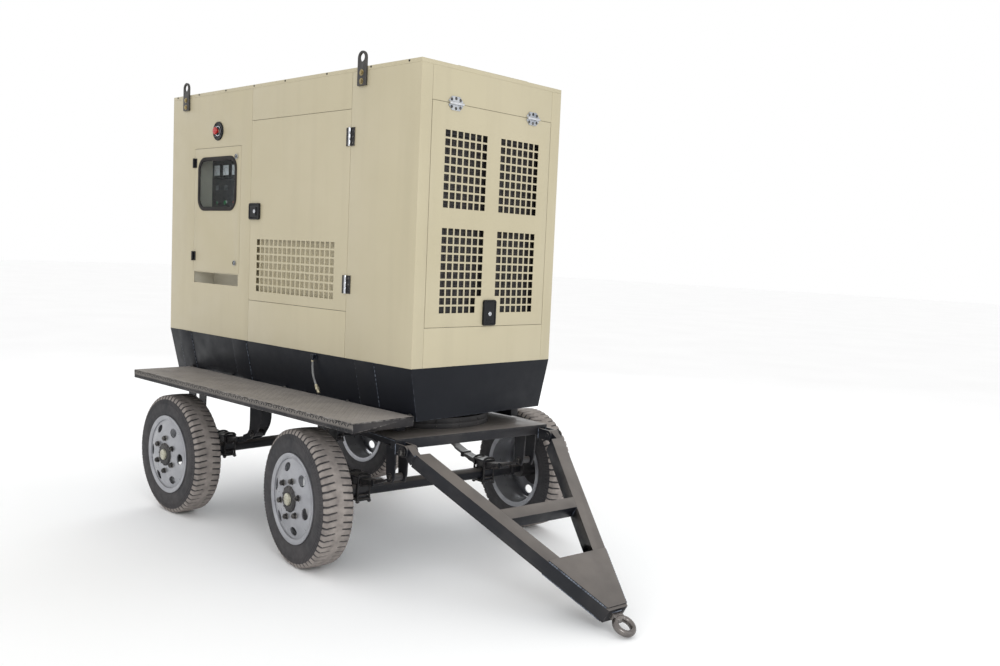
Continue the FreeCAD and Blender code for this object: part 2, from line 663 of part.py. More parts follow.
def side_door(side, out):
    """Service door: grilled skin, folded edges, baffle behind the holes, and moving leaves."""
    left, right = "door_rear + seam / 2", "door_front - seam / 2"
    low, high = "door_low + seam / 2", "door_high - seam / 2"
    face = grille_sheet(left, low, right, high, [(-1011, 1438, 17, 7)], "side_pitch")
    face_y = "-canopy_half + skin" if out < 0 else "canopy_half"
    tie(face, "Placement.Base.y", face_y)
    deep = "door_depth - skin"
    fold_y = "-canopy_half + skin" if out < 0 else "canopy_half - door_depth"
    fold = cut(block(left, fold_y, low, f"{right} - ({left})", deep, f"{high} - ({low})"),
               block(f"{left} + 3", f"{fold_y} - 1", f"{low} + 3", f"{right} - ({left}) - 6", f"{deep} + 2",
                     f"{high} - ({low}) - 6"))
    baffle_y = "-canopy_half + door_depth" if out < 0 else "canopy_half - door_depth - skin"
    baffle = block(f"{left} + 10", baffle_y, f"{low} + 10", f"{right} - ({left}) - 20", "skin",
                   f"{high} - ({low}) - 20")
    gasket = cut(block(f"{left} + 3", baffle_y, f"{low} + 3", f"{right} - ({left}) - 6", "skin",
                       f"{high} - ({low}) - 6"),
                 block(f"{left} + 10", f"{baffle_y} - 1", f"{low} + 10", f"{right} - ({left}) - 20", 9,
                       f"{high} - ({low}) - 20"))
    leaves = []
    for z in SIDE_HINGES:
        leaves += side_hinge(out, "door_front", z, True)
    cup_y = "-canopy_half - 14" if out < 0 else "canopy_half"
    cup = block(-1109 + 18, cup_y, 1875, 130 - 18, 14, 100)
    well_y = f"{cup_y} - 1" if out < 0 else f"{cup_y} + 3"
    cup = cut(cup, block(-1081, well_y, 1887, 92, 12, 76))
    node(f"{side}_door", group(face, fold, baffle, gasket, *leaves, cup))
    paddle_y = "-canopy_half - 13" if out < 0 else "canopy_half + 7"
    plate = block(-1080, paddle_y, 1888, 87, 6, 74)
    pivot = rod(-993, f"{paddle_y} + 3", 1888, 3, 74)
    key_y = "-canopy_half - 15" if out < 0 else "canopy_half + 13"
    node(f"{side}_door_paddle", fuse(plate, pivot, rod(-1012, key_y, 1925, 11, 2, "y")))


def front_door():
    """Radiator door, hinged along its top, with four fields of holes."""
    half = "canopy_half - corner_return - seam / 2 - 2"
    low, high = "front_low + seam / 2", "front_high - seam / 2"
    fields = [(-362, 1958, 7, 9), (54, 1958, 7, 9), (-362, 1497.2, 7, 8), (54, 1497.2, 7, 8),
              (-362, 1406, 6, 2), (99.6, 1406, 6, 2)]
    face = grille_sheet(f"-({half})", low, half, high, fields, "front_pitch")
    face.Placement.Rotation = Rotation(Vector(0, 0, 1), 90)
    tie(face, "Placement.Base.x", "canopy_front - skin")
    fold = cut(block("canopy_front - door_depth", f"-({half})", low, "door_depth - skin", f"2 * ({half})",
                     f"{high} - ({low})"),
               block("canopy_front - door_depth - 1", f"-({half}) + 3", f"{low} + 3", "door_depth",
                     f"2 * ({half}) - 6", f"{high} - ({low}) - 6"))
    leaves = []
    for y in FRONT_HINGES:
        leaves += front_hinge(y, True)
    cup = cut(block("canopy_front", -38, 1335, 14, 96, 141),
              block("canopy_front + 3", -28, 1345, 12, 76, 121))
    node("front_door", group(face, fold, *leaves, cup))
    plate = block("canopy_front + 7", -27, 1346, 6, 74, 116)
    pivot = rod("canopy_front + 10", -27, 1462, 3, 74, "y")
    node("front_door_paddle", fuse(plate, pivot, rod("canopy_front + 13", 10, 1375, 11, 2, "x")))


def window_cutter(inset, start, depth):
    """The window's rounded outline, drawn in from its gasket's outer edge, as a slab along Y."""
    return rounded_block(f"window_rear + {inset}", f"-canopy_half + {start}", f"window_low + {inset}",
                         f"window_front - window_rear - 2 * {inset}", depth,
                         f"window_high - window_low - 2 * {inset}", f"window_round - {inset}")


def control_door():
    """Small door over the control panel, with a glazed window and two turn locks."""
    wide, high = "panel_front - panel_rear", "panel_high - panel_low"
    opening = window_cutter(8, -20, 60)
    lock_holes = [rod("panel_front - 50", "-canopy_half - 20", z, 12.4, 60, "y") for z in (1600, 2267)]
    face = cut(block("panel_rear", "-canopy_half", "panel_low", wide, "skin", high), opening, *lock_holes)
    fold = cut(block("panel_rear", "-canopy_half + skin", "panel_low", wide, 15, high),
               block("panel_rear + 3", "-canopy_half", "panel_low + 3", f"{wide} - 6", 30, f"{high} - 6"))
    leaves = []
    for z in CONTROL_HINGES:
        leaves += control_hinge(z, True)
    node("control_door", group(face, fold, *leaves))
    pane = window_cutter(14, -1, 4)
    seal = cut(window_cutter(0, -6, 6), window_cutter(26, -20, 60), window_cutter(14, -1, 4))
    node("control_window", group(pane, seal))
    for name, z in (("lower_quarter_lock", 1600), ("upper_quarter_lock", 2267)):
        head = cut(rod("panel_front - 50", "-canopy_half - 7", z, 16, 7, "y"),
                   block("panel_front - 60", "-canopy_half - 9", f"{z} - 2", 20, 5, 4))
        shaft = rod("panel_front - 50", "-canopy_half", z, 12, 20, "y")
        cam = block("panel_front - 56", "-canopy_half + 20", f"{z} - 6", 48, 3, 12)
        node(name, fuse(head, shaft, cam))


def control_cabinet():
    """Open-fronted inner box with a cable tray behind the slot."""
    outer = block("panel_rear - 14", "-canopy_half + skin", 1440, "panel_front - panel_rear + 28", 260, 906)
    inner = block("panel_rear - 12", "-canopy_half", 1532, "panel_front - panel_rear + 24", 258, 812)
    tray = block("panel_rear - 12", "-canopy_half", 1442, "panel_front - panel_rear + 24", 160, 86)
    node("control_cabinet", cut(outer, inner, tray))


PANEL_FIRST, PANEL_PITCH = 60, 112
METER_ROW, SWITCH_ROW, BUTTON_ROW = 2197, 2088, 1990


def control_panel():
    """Instrument board with two rows of meters, a controller, lamps and a breaker."""
    face_y = "-canopy_half + 134"
    board = block("panel_rear - 11", face_y, 1570, "panel_front - panel_rear + 22", 3, 760)
    columns = [f"panel_rear + {PANEL_FIRST + PANEL_PITCH * step}" for step in range(5)]
    meters = [block(f"{x} - 48", f"{face_y} - 9", METER_ROW - 48, 96, 9, 96) for x in columns]
    switches = [rod(x, f"{face_y} - 14", SWITCH_ROW, 15, 14, "y") for x in columns[:2]]
    lamps = [rod(x, f"{face_y} - 7", BUTTON_ROW, 11, 7, "y") for x in (columns[0], *columns[3:])]
    controller = block(f"{columns[3]} - 80", f"{face_y} - 10", SWITCH_ROW - 45, 200, 10, 90)
    breaker = block("panel_rear + 170", f"{face_y} - 60", 1620, 220, 60, 240)
    node("control_panel", group(board, *meters, *switches, *lamps, controller, breaker))
    for name, x in (("start_button", columns[1]), ("stop_button", columns[2])):
        node(name, rod(x, f"{face_y} - 13", BUTTON_ROW, 13, 9, "y"))


def emergency_stop():
    """A mushroom button in a round housing above the control door."""
    x, z = "estop_x", "estop_up"
    node("estop_housing", cut(rod(x, "-canopy_half - 10", z, 60, 10, "y"),
                              rod(x, "-canopy_half - 12", z, 12.4, 20, "y")))
    node("estop_button", fuse(rod(x, "-canopy_half - 34", z, 24, 14, "y"),
                              rod(x, "-canopy_half - 20", z, 12, 13, "y")))


def fuel_cap():
    """A quarter-turn cap with a grip bar, on the far side."""
    cap = fuse(rod("fuel_cap_x", "canopy_half + 0.5", "fuel_cap_up", 42, 20, "y"),
               block("fuel_cap_x - 36", "canopy_half + 20.5", "fuel_cap_up - 7", 72, 10, 14))
    node("fuel_cap", cap)


# ---------------------------------------------------------------- machinery inside

def engine():
    crankcase = cut(block(-420, -170, 1330, 640, 340, 370), block(-380, -120, 1320, 560, 240, 340))
    sump = cut(block(-380, -120, 1190, 560, 240, 140), block(-374, -114, 1196, 548, 228, 140))
    housing = rod(-460, 0, "engine_axis", 230, 40, "x")
    node("engine_block", group(crankcase, sump, housing))
    head = block(-400, -110, 1700, 600, 250, 110)
    cover = block(-370, -80, 1810, 540, 160, 70)
    filter_can = rod(-200, 330, 2050, 95, 330, "x")
    inlet = block(-120, 140, 1740, 80, 150, 60)
    node("cylinder_head", group(head, cover, filter_can, inlet))


def generator_end():
    stator = cut(rod(-1080, 0, "engine_axis", 235, 620, "x"), rod(-1080, 0, "engine_axis", 185, 580, "x"))
    end_bell = cut(rod(-1140, 0, "engine_axis", 210, 60, "x"), rod(-1130, 0, "engine_axis", 180, 60, "x"))
    terminal_box = block(-960, -150, "engine_axis + 235", 320, 300, 170)
    terminal_box = cut(terminal_box, rod(-1080, 0, "engine_axis", 235, 620, "x"))
    node("alternator", group(stator, end_bell, terminal_box))


def engine_skid():
    rails = [block(-1150, y, "canopy_floor", 1450, 60, 45) for y in (200, -260)]
    mounts = [rod(x, y, "canopy_floor + 45", 32, 24) for x in (-980, 100) for y in (230, -230)]
    feet = [block(x, y, "canopy_floor + 69", 120, 104, 14) for x in (-1040, 40) for y in (166, -270)]
    node("engine_skid", group(*rails, *mounts, *feet))


def exhaust_silencer():
    drum = cut(rod(-900, 0, 2330, 115, 640, "x"), rod(-896, 0, 2330, 111, 632, "x"),
               rod(-905, 0, 2330, 30, 650, "x"))
    outlet = cut(rod(-960, 0, 2330, 35, 60, "x"), rod(-961, 0, 2330, 30, 62, "x"))
    flange = cut(rod(-260, 0, 2330, 35, 120, "x"), rod(-261, 0, 2330, 30, 122, "x"))
    drop = cut(rod(-175, 0, 1900, 35, 395), rod(-175, 0, 1899, 30, 390))
    node("exhaust_silencer", group(drum, outlet, flange, drop))


def radiator():
    core = block(372, -400, 1440, 45, 800, 900)
    tanks = [block(364, -400, z, 61, 800, 60) for z in (1380, 2340)]
    shroud = cut(block(330, -380, 1450, 42, 760, 880),
                 rod(325, 0, "fan_up", 290, 60, "x"), block(330, -376, 1950, 39, 752, 360))
    node("radiator", group(core, *tanks, shroud))


def battery():
    case = block(-1560, 150, "canopy_floor", 400, 190, 200)
    posts = [rod(x, 245, "canopy_floor + 200", 9, 18) for x in (-1510, -1210)]
    node("battery", group(case, *posts))


def cooling_fan():
    """Belt-driven fan: hub, grooved pulley and six pitched blades."""
    hub = rod(285, 0, "fan_up", 55, 45, "x")
    pulley = rod(245, 0, "fan_up", "fan_pulley", 26, "x")
    neck = rod(225, 0, "fan_up", 18, 60, "x")
    blades = []
    for step in range(6):
        blade = group(block(-2, -35, 50, 4, 70, 205))
        spoke = Placement(Vector(306, 0, size("fan_up")), Rotation(Vector(1, 0, 0), 60 * step))
        blade.Placement = spoke * Placement(Vector(), Rotation(Vector(0, 0, 1), 28))
        blades.append(blade)
    node("cooling_fan", fuse(hub, pulley, neck, *blades))
    node("crank_pulley", fuse(rod(245, 0, "engine_axis", "crank_pulley", 26, "x"),
                              rod(225, 0, "engine_axis", 30, 20, "x")))


def fan_belt():
    """Flat band around both pulleys, drawn a hair clear of them."""
    gap = 0.4
    thick = 8
    spread = size("fan_up - engine_axis")

    def loop(extra):
        low = rod(250, 0, "engine_axis", f"crank_pulley + {extra}", 16, "x")
        high = rod(250, 0, "fan_up", f"fan_pulley + {extra}", 16, "x")
        lean = math.asin((size("crank_pulley") - size("fan_pulley")) / spread)
        r_low, r_high = size("crank_pulley") + extra, size("fan_pulley") + extra
        z_low, z_high = size("engine_axis"), size("fan_up")
        side = [(r_low * math.cos(lean), z_low + r_low * math.sin(lean)),
                (r_high * math.cos(lean), z_high + r_high * math.sin(lean))]
        web = prism(side + [(-u, v) for u, v in reversed(side)], 16, "XZ_Plane")
        web.Placement = Placement(Vector(250, 0, 0), Rotation(Vector(0, 0, 1), 90))
        return fuse(low, high, web)

    node("fan_belt", cut(loop(gap + thick), loop(gap)))


# ---------------------------------------------------------------- drain hose

HOSE_ROUTE = [(-385, -548, 1079), (-385, -548, 1043), (-377, -550, 1006), (-359, -553, 972),
              (-334, -555, 940)]


def rounded_path(route):
    """Straight runs joined by tangent arcs, each as large as its two runs allow."""
    points = [Vector(*p) for p in route]
    edges, start, radii = [], points[0], []
    for before, corner, after in zip(points, points[1:], points[2:]):
        run_in, run_out = corner - before, after - corner
        turn = run_in.getAngle(run_out)
        radius = 0.45 * min(run_in.Length, run_out.Length) / math.tan(turn / 2)
        back = radius * math.tan(turn / 2)
        enter = corner - run_in.normalize() * back
        leave = corner + run_out.normalize() * back
        inward = (leave + enter) * 0.5 - corner
        inward.normalize()
        middle = corner + inward * (radius / math.cos(turn / 2) - radius)
        edges += [Part.LineSegment(start, enter).toShape(), Part.Arc(enter, middle, leave).toShape()]
        start = leave
        radii.append(radius)
    edges.append(Part.LineSegment(start, points[-1]).toShape())
    return Part.Wire(edges), radii


def drain_hose():
    """Short oil-drain hose hanging from its gland, with a brass end fitting."""
    path, radii = rounded_path(HOSE_ROUTE)
    first, last = Vector(*HOSE_ROUTE[0]), Vector(*HOSE_ROUTE[-1])
    heading = Vector(*HOSE_ROUTE[1]) - first
    ring = Part.Wire(Part.makeCircle(size("hose / 2"), first, heading))
    tube = path.makePipeShell([ring], True, False)
    area = math.pi * size("hose / 2") ** 2
    print("hose radii", [round(r) for r in radii], "length", round(path.Length, 1),
          "volume ratio", round(tube.Volume / (area * path.Length), 4))
    hose = doc.addObject("Part::Feature", "drain_hose")
    hose.Shape = tube
    node("drain_hose", hose)
    aim = Rotation(Vector(0, 0, 1), last - Vector(*HOSE_ROUTE[-2]))
    ferrule = rod(0, 0, 0, "hose_fitting / 2", 16)
    nut = hexagon(0, 0, 16, 12.5, 14, "z")
    tail = rod(0, 0, 30, "hose_fitting / 2 - 1", 20)
    fitting = group(ferrule, nut, tail)
    fitting.Placement = Placement(last, aim)
    node("hose_fitting", fitting)


def build():
    base_frame()
    main_frame()
    turntable()
    running_board()
    axle("rear_axle", "rear_axle_x")
    leaf_springs("rear_leaf_springs", "rear_axle_x", "rail_low", cranked=True)
    axle("front_axle", 0, bogie_frame_place())
    leaf_springs("front_leaf_springs", 0, "bogie_top - bogie_plate - bogie_channel",
                 frame=bogie_frame_place())
    for side in ("left", "right"):
        wheel("rear", side, "rear_axle_x")
        wheel("front", side, 0, bogie_frame_place())
    bogie_frame()
    drawbar_frame()
    tow_eye()
    corner_panels()
    rear_side_panels()
    canopy_frame()
    rear_panel()
    roof_panel()
    roof_hatch()
    lifting_lugs()
    canopy_fasteners()
    hinge_leaves()
    side_door("right", -1)
    side_door("left", 1)
    front_door()
    control_door()
    control_cabinet()
    control_panel()
    emergency_stop()
    fuel_cap()
    engine()
    generator_end()
    engine_skid()
    exhaust_silencer()
    radiator()
    battery()
    cooling_fan()
    fan_belt()
    drain_hose()
    doc.recompute()


def check_and_write():
    for item in doc.Objects:
        if {"Invalid", "Error"} & set(item.State):
            raise RuntimeError(f"{item.Label} did not build: {item.State}")
    box = FreeCAD.BoundBox()
    os.makedirs("parts", exist_ok=True)
    for item in SUB_PARTS:
        shape = item.Shape
        if shape.isNull() or not shape.isValid() or not shape.Solids:
            raise RuntimeError(f"{item.Label} has no valid solid")
        shape.exportStep(f"parts/{item.Label}.step")
        box.add(shape.BoundBox)
    print(len(SUB_PARTS), "sub-parts")
    for axis in "XYZ":
        print(axis, round(getattr(box, f"{axis}Min"), 2), round(getattr(box, f"{axis}Max"), 2))


build()
check_and_write()
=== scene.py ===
"""Looks of a towable diesel generator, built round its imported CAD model. Metres throughout."""

import json
import math

import bmesh
import bpy
from mathutils import Matrix, Vector, noise


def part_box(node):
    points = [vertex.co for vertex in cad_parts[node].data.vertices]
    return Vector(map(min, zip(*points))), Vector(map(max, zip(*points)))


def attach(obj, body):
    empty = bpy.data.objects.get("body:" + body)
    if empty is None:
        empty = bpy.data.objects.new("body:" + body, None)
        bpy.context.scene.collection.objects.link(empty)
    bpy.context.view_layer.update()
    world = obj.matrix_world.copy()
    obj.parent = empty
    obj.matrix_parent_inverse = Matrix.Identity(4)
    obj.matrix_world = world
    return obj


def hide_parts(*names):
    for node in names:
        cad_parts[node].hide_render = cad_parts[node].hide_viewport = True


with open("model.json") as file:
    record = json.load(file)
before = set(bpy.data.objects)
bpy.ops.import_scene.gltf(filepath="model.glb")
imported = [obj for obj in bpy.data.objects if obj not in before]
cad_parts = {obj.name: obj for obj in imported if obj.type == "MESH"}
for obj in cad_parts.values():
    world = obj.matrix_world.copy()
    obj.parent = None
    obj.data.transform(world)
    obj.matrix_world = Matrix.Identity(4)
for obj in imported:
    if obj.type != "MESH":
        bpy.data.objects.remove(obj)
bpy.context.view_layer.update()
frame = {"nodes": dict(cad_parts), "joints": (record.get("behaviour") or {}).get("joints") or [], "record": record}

NODES = frame["nodes"]
JOINTS = {joint["name"]: joint for joint in frame["joints"]}
TURNTABLE = Vector(JOINTS["steering_turntable"]["pos_m"])
UP, OUT = Vector((0, 0, 1)), Vector((0, 1, 0))


def at(x, y, z):
    """A point measured from the turntable's axis, in the row frame."""
    return Vector((TURNTABLE.x + x, y, z))


# ---------------------------------------------------------------- camera, light and floor

EYE = (4.11, -3.744, 1.728)
YAW, PITCH, ROLL = math.radians(43.447), math.radians(-4.72), math.radians(2.523)
LENS = 34.216


def add_camera():
    forward = Vector((-math.sin(YAW) * math.cos(PITCH), math.cos(YAW) * math.cos(PITCH), math.sin(PITCH)))
    right = forward.cross(UP).normalized()
    top = right.cross(forward)
    side = right * math.cos(ROLL) + top * math.sin(ROLL)
    head = top * math.cos(ROLL) - right * math.sin(ROLL)
    camera = bpy.data.objects.new("camera", bpy.data.cameras.new("camera"))
    camera.data.lens = LENS
    camera.data.sensor_width = 36
    camera.matrix_world = Matrix.Translation(at(*EYE)) @ Matrix((side, head, -forward)).transposed().to_4x4()
    bpy.context.scene.collection.objects.link(camera)
    bpy.context.scene.camera = camera


def add_light(name, place, target, size, power):
    lamp = bpy.data.lights.new(name, "AREA")
    lamp.shape = "DISK"
    lamp.size = size
    lamp.energy = power
    lamp.color = (0.92, 0.97, 1.0)
    item = bpy.data.objects.new(name, lamp)
    aim = (Vector(target) - Vector(place)).to_track_quat("-Z", "Y")
    item.matrix_world = Matrix.Translation(place) @ aim.to_matrix().to_4x4()
    bpy.context.scene.collection.objects.link(item)


def add_studio():
    bpy.context.scene.view_settings.view_transform = "Standard"
    world = bpy.data.worlds.new("studio")
    world.use_nodes = True
    world.node_tree.nodes["Background"].inputs["Color"].default_value = (1, 1, 1, 1)
    world.node_tree.nodes["Background"].inputs["Strength"].default_value = 1.0
    bpy.context.scene.world = world
    middle = at(-0.6, 0, 1.3)
    add_light("key", at(5.4, -3.4, 3.6), middle, 2.6, 90)
    add_light("front_fill", at(6.5, 1.6, 2.6), middle, 3.0, 25)
    add_light("back_fill", at(-5.5, 5.0, 4.0), middle, 4.0, 120)
    floor = bpy.data.meshes.new("floor")
    reach = 60
    floor.from_pydata([(-reach, -reach, 0), (reach, -reach, 0), (reach, reach, 0), (-reach, reach, 0)], [],
                      [(0, 1, 2, 3)])
    item = bpy.data.objects.new("floor", floor)
    bpy.context.scene.collection.objects.link(item)
    item.data.materials.append(FINISHES["floor"])


# ---------------------------------------------------------------- materials

def tone(red, green, blue):
    """A colour given as screen values from 0 to 255, made linear."""
    def linear(part):
        part /= 255
        return part / 12.92 if part <= 0.04045 else ((part + 0.055) / 1.055) ** 2.4
    return linear(red), linear(green), linear(blue), 1


class Nodes:
    """A material's node tree with short names for what every finish here needs."""

    def __init__(self, name):
        self.material = bpy.data.materials.new(name)
        self.material.use_nodes = True
        self.tree = self.material.node_tree
        self.shader = self.tree.nodes["Principled BSDF"]
        self.where = self.add("TexCoord").outputs["Object"]

    def add(self, kind, **values):
        node = self.tree.nodes.new("ShaderNode" + kind)
        for key, value in values.items():
            setattr(node, key, value)
        return node

    def link(self, output, target):
        self.tree.links.new(output, target)

    def noise(self, scale, detail=3.0, stretch=(1, 1, 1)):
        mapping = self.add("Mapping")
        mapping.inputs["Scale"].default_value = stretch
        self.link(self.where, mapping.inputs["Vector"])
        texture = self.add("TexNoise")
        texture.inputs["Scale"].default_value = scale
        texture.inputs["Detail"].default_value = detail
        self.link(mapping.outputs["Vector"], texture.inputs["Vector"])
        return texture.outputs["Fac"]

    def spread(self, value, low, high, to_low=0.0, to_high=1.0):
        node = self.add("MapRange")
        for name, number in (("From Min", low), ("From Max", high), ("To Min", to_low), ("To Max", to_high)):
            node.inputs[name].default_value = number
        self.link(value, node.inputs["Value"])
        return node.outputs["Result"]

    def times(self, first, second):
        node = self.add("Math", operation="MULTIPLY")
        self.link(first, node.inputs[0])
        self.link(second, node.inputs[1])
        return node.outputs["Value"]

    def mix(self, factor, first, second):
        node = self.add("Mix", data_type="RGBA")
        self.link(factor, node.inputs[0])
        for socket, colour in ((node.inputs[6], first), (node.inputs[7], second)):
            if isinstance(colour, tuple):
                socket.default_value = colour
            else:
                self.link(colour, socket)
        return node.outputs[2]

    def facing_up(self):
        parts = self.add("SeparateXYZ")
        self.link(self.add("NewGeometry").outputs["Normal"], parts.inputs["Vector"])
        return self.spread(parts.outputs["Z"], 0.35, 0.95)

    def edges(self, radius):
        """1 on edges and 0 on flats, from how far a rounded normal leans from the real one."""
        rounded = self.add("Bevel", samples=4)
        rounded.inputs["Radius"].default_value = radius
        dot = self.add("VectorMath", operation="DOT_PRODUCT")
        self.link(rounded.outputs["Normal"], dot.inputs[0])
        self.link(self.add("NewGeometry").outputs["Normal"], dot.inputs[1])
        return self.spread(dot.outputs["Value"], 0.995, 0.90)

    def bump(self, height, strength, distance):
        node = self.add("Bump")
        node.inputs["Strength"].default_value = strength
        node.inputs["Distance"].default_value = distance
        self.link(height, node.inputs["Height"])
        self.link(node.outputs["Normal"], self.shader.inputs["Normal"])


def finish(name, base, second, rough, metal=0.0, patch=3.0, grain=(260, 0.15, 0.0004), dust=None, wear=None,
           streak=None, coat=0.0, shine=0.5):
    """A paint, plastic or metal: patchy colour, uneven gloss, fine grain, perhaps dust, wear or streaks."""
    n = Nodes(name)
    colour = n.mix(n.spread(n.noise(patch, 5), 0.35, 0.65), base, second)
    if streak:
        colour = n.mix(n.spread(n.noise(1, 4, (9, 9, 0.7)), 0.50, 0.78, 0, 0.35), colour, streak)
    if wear:
        chips = n.times(n.edges(0.004), n.spread(n.noise(40, 4), 0.42, 0.62))
        colour = n.mix(chips, colour, wear)
    if dust:
        settled, share = dust
        film = n.times(n.facing_up(), n.spread(n.noise(7, 6), 0.25, 0.6, share * 0.75, share))
        colour = n.mix(film, colour, settled)
        low = n.spread(n.noise(5, 5), 0.45, 0.75, 0, share * 0.12)
        colour = n.mix(low, colour, settled)
    n.link(colour, n.shader.inputs["Base Color"])
    gloss = n.spread(n.noise(patch * 6, 5), 0.3, 0.7, rough - 0.07, rough + 0.09)
    n.link(gloss, n.shader.inputs["Roughness"])
    n.shader.inputs["Metallic"].default_value = metal
    n.shader.inputs["Coat Weight"].default_value = coat
    n.shader.inputs["Specular IOR Level"].default_value = shine
    n.shader.inputs["Coat Roughness"].default_value = 0.25
    scale, strength, distance = grain
    n.bump(n.noise(scale, 3), strength, distance)
    return n.material


def tread_rubber():
    """Dark sidewall rubber, brown with road dust on the tread blocks and dark in the grooves."""
    n = Nodes("tyre_rubber")
    wall = n.mix(n.spread(n.noise(6, 5), 0.3, 0.7), tone(44, 44, 47), tone(62, 59, 60))
    dusty = n.mix(n.spread(n.noise(22, 5), 0.3, 0.7), tone(154, 146, 140), tone(120, 113, 109))
    height = n.add("Attribute", attribute_name="crown")
    colour = n.mix(n.spread(height.outputs["Fac"], 0.2, 0.85), wall, dusty)
    n.link(colour, n.shader.inputs["Base Color"])
    n.link(n.spread(n.noise(30, 4), 0.3, 0.7, 0.68, 0.88), n.shader.inputs["Roughness"])
    n.bump(n.noise(320, 3), 0.35, 0.0006)
    return n.material


def clear_glass():
    n = Nodes("window_glass")
    n.shader.inputs["Base Color"].default_value = (0.9, 0.94, 0.93, 1)
    n.shader.inputs["Transmission Weight"].default_value = 1
    n.shader.inputs["IOR"].default_value = 1.1
    n.link(n.spread(n.noise(9, 4), 0.4, 0.8, 0.0, 0.02), n.shader.inputs["Roughness"])
    n.bump(n.noise(3, 2), 0.04, 0.001)
    return n.material


def floor_finish():
    n = Nodes("floor_pale")
    n.link(n.mix(n.spread(n.noise(0.7, 4), 0.3, 0.7), tone(250, 250, 250), tone(253, 253, 253)),
           n.shader.inputs["Base Color"])
    n.shader.inputs["Roughness"].default_value = 0.9
    n.bump(n.noise(40, 2), 0.03, 0.001)
    return n.material


DUST = tone(128, 121, 115)
FINISHES = {
    "canopy": finish("canopy_paint", tone(187, 177, 149), tone(182, 172, 143), 0.42, patch=1.3,
                     grain=(900, 0.12, 0.00025), streak=tone(170, 160, 134), coat=0.15),
    "inner_paint": finish("inner_paint", tone(214, 210, 196), tone(204, 199, 184), 0.6, patch=4),
    "base_black": finish("base_paint", tone(13, 16, 23), tone(18, 21, 28), 0.46, patch=2.2,
                         dust=(tone(70, 70, 74), 0.15), wear=tone(92, 98, 108), shine=0.2),
    "chassis_black": finish("chassis_paint", tone(20, 22, 28), tone(28, 29, 34), 0.46, patch=3,
                            dust=(DUST, 0.78), wear=tone(92, 90, 90), shine=0.3),
    "board_dust": finish("board_dust", tone(30, 29, 31), tone(42, 40, 42), 0.62, patch=5,
                         dust=(tone(148, 142, 136), 0.95), wear=tone(166, 162, 158), shine=0.3),
    "zinc": finish("zinc_plate", tone(196, 199, 203), tone(150, 156, 166), 0.28, metal=0.9, patch=18),
    "bolt_steel": finish("bolt_steel", tone(62, 60, 60), tone(40, 39, 40), 0.45, metal=0.7, patch=30,
                         wear=tone(150, 146, 140)),
    "brass_bolt": finish("plated_bolt", tone(166, 150, 108), tone(128, 116, 86), 0.35, metal=0.8, patch=40),
    "lug_steel": finish("lug_paint", tone(38, 36, 36), tone(56, 53, 50), 0.42, patch=12,
                        wear=tone(120, 112, 100)),
    "forged": finish("forged_steel", tone(104, 100, 98), tone(132, 126, 122), 0.26, metal=0.85, patch=14,
                     wear=tone(190, 187, 184)),
    "weld": finish("weld_bead", tone(52, 58, 70), tone(118, 126, 138), 0.36, metal=0.4, patch=45,
                   grain=(500, 0.5, 0.0008)),
    "black_plastic": finish("black_plastic", tone(16, 17, 20), tone(24, 25, 28), 0.4, patch=8,
                            grain=(1100, 0.25, 0.0003), shine=0.25),
    "gasket": finish("gasket_rubber", tone(30, 27, 26), tone(40, 36, 34), 0.62, patch=9, shine=0.25),
    "red_plastic": finish("red_plastic", tone(190, 28, 24), tone(168, 20, 18), 0.28, patch=20, coat=0.4),
    "green_plastic": finish("green_plastic", tone(60, 150, 96), tone(48, 128, 82), 0.28, patch=20, coat=0.4),
    "panel_board": finish("panel_board", tone(34, 35, 39), tone(42, 43, 47), 0.5, patch=6),
    "dial_face": finish("dial_face", tone(232, 234, 240), tone(222, 225, 232), 0.35, patch=30, coat=0.5),
    "grey_plastic": finish("grey_plastic", tone(104, 106, 110), tone(90, 92, 96), 0.45, patch=12),
    "chrome": finish("chrome", tone(214, 216, 220), tone(196, 198, 204), 0.14, metal=1.0, patch=40),
    "wheel_silver": finish("wheel_silver", tone(168, 169, 173), tone(148, 149, 154), 0.34, metal=0.65,
                           patch=9, dust=(tone(140, 134, 128), 0.25), grain=(700, 0.2, 0.0004)),
    "spring_steel": finish("spring_paint", tone(31, 31, 35), tone(48, 46, 48), 0.46, patch=7,
                           dust=(DUST, 0.55), wear=tone(104, 98, 92)),
    "grease_cap": finish("grease_cap", tone(190, 188, 172), tone(154, 150, 132), 0.3, metal=0.6, patch=22),
    "engine_paint": finish("engine_paint", tone(62, 82, 98), tone(52, 68, 84), 0.44, patch=6,
                           dust=(DUST, 0.2), wear=tone(120, 126, 130)),
    "alternator_paint": finish("alternator_paint", tone(50, 78, 108), tone(42, 66, 94), 0.42, patch=6,
                               dust=(DUST, 0.2)),
    "exhaust_steel": finish("exhaust_steel", tone(120, 112, 106), tone(96, 84, 74), 0.5, metal=0.7, patch=9),
    "radiator_black": finish("radiator_black", tone(44, 41, 41), tone(34, 32, 33), 0.55, patch=10),
    "fin_metal": finish("fin_metal", tone(88, 82, 78), tone(66, 61, 59), 0.5, metal=0.4, patch=60),
    "battery_case": finish("battery_case", tone(28, 28, 30), tone(38, 38, 40), 0.42, patch=8),
    "belt_rubber": finish("belt_rubber", tone(28, 28, 29), tone(40, 39, 39), 0.7, patch=20),
    "hose_rubber": finish("hose_rubber", tone(128, 128, 128), tone(106, 106, 106), 0.55, patch=30),
    "brass": finish("brass", tone(198, 190, 166), tone(166, 158, 134), 0.3, metal=0.8, patch=60),
    "fan_paint": finish("fan_plastic", tone(36, 36, 38), tone(46, 45, 46), 0.45, patch=8),
    "cast_dark": finish("cast_dark", tone(44, 43, 45), tone(60, 58, 58), 0.5, metal=0.3, patch=8,
                        dust=(DUST, 0.3), grain=(420, 0.4, 0.0008)),
    "tyre": tread_rubber(),
    "window_glass": clear_glass(),
    "floor": floor_finish(),
}


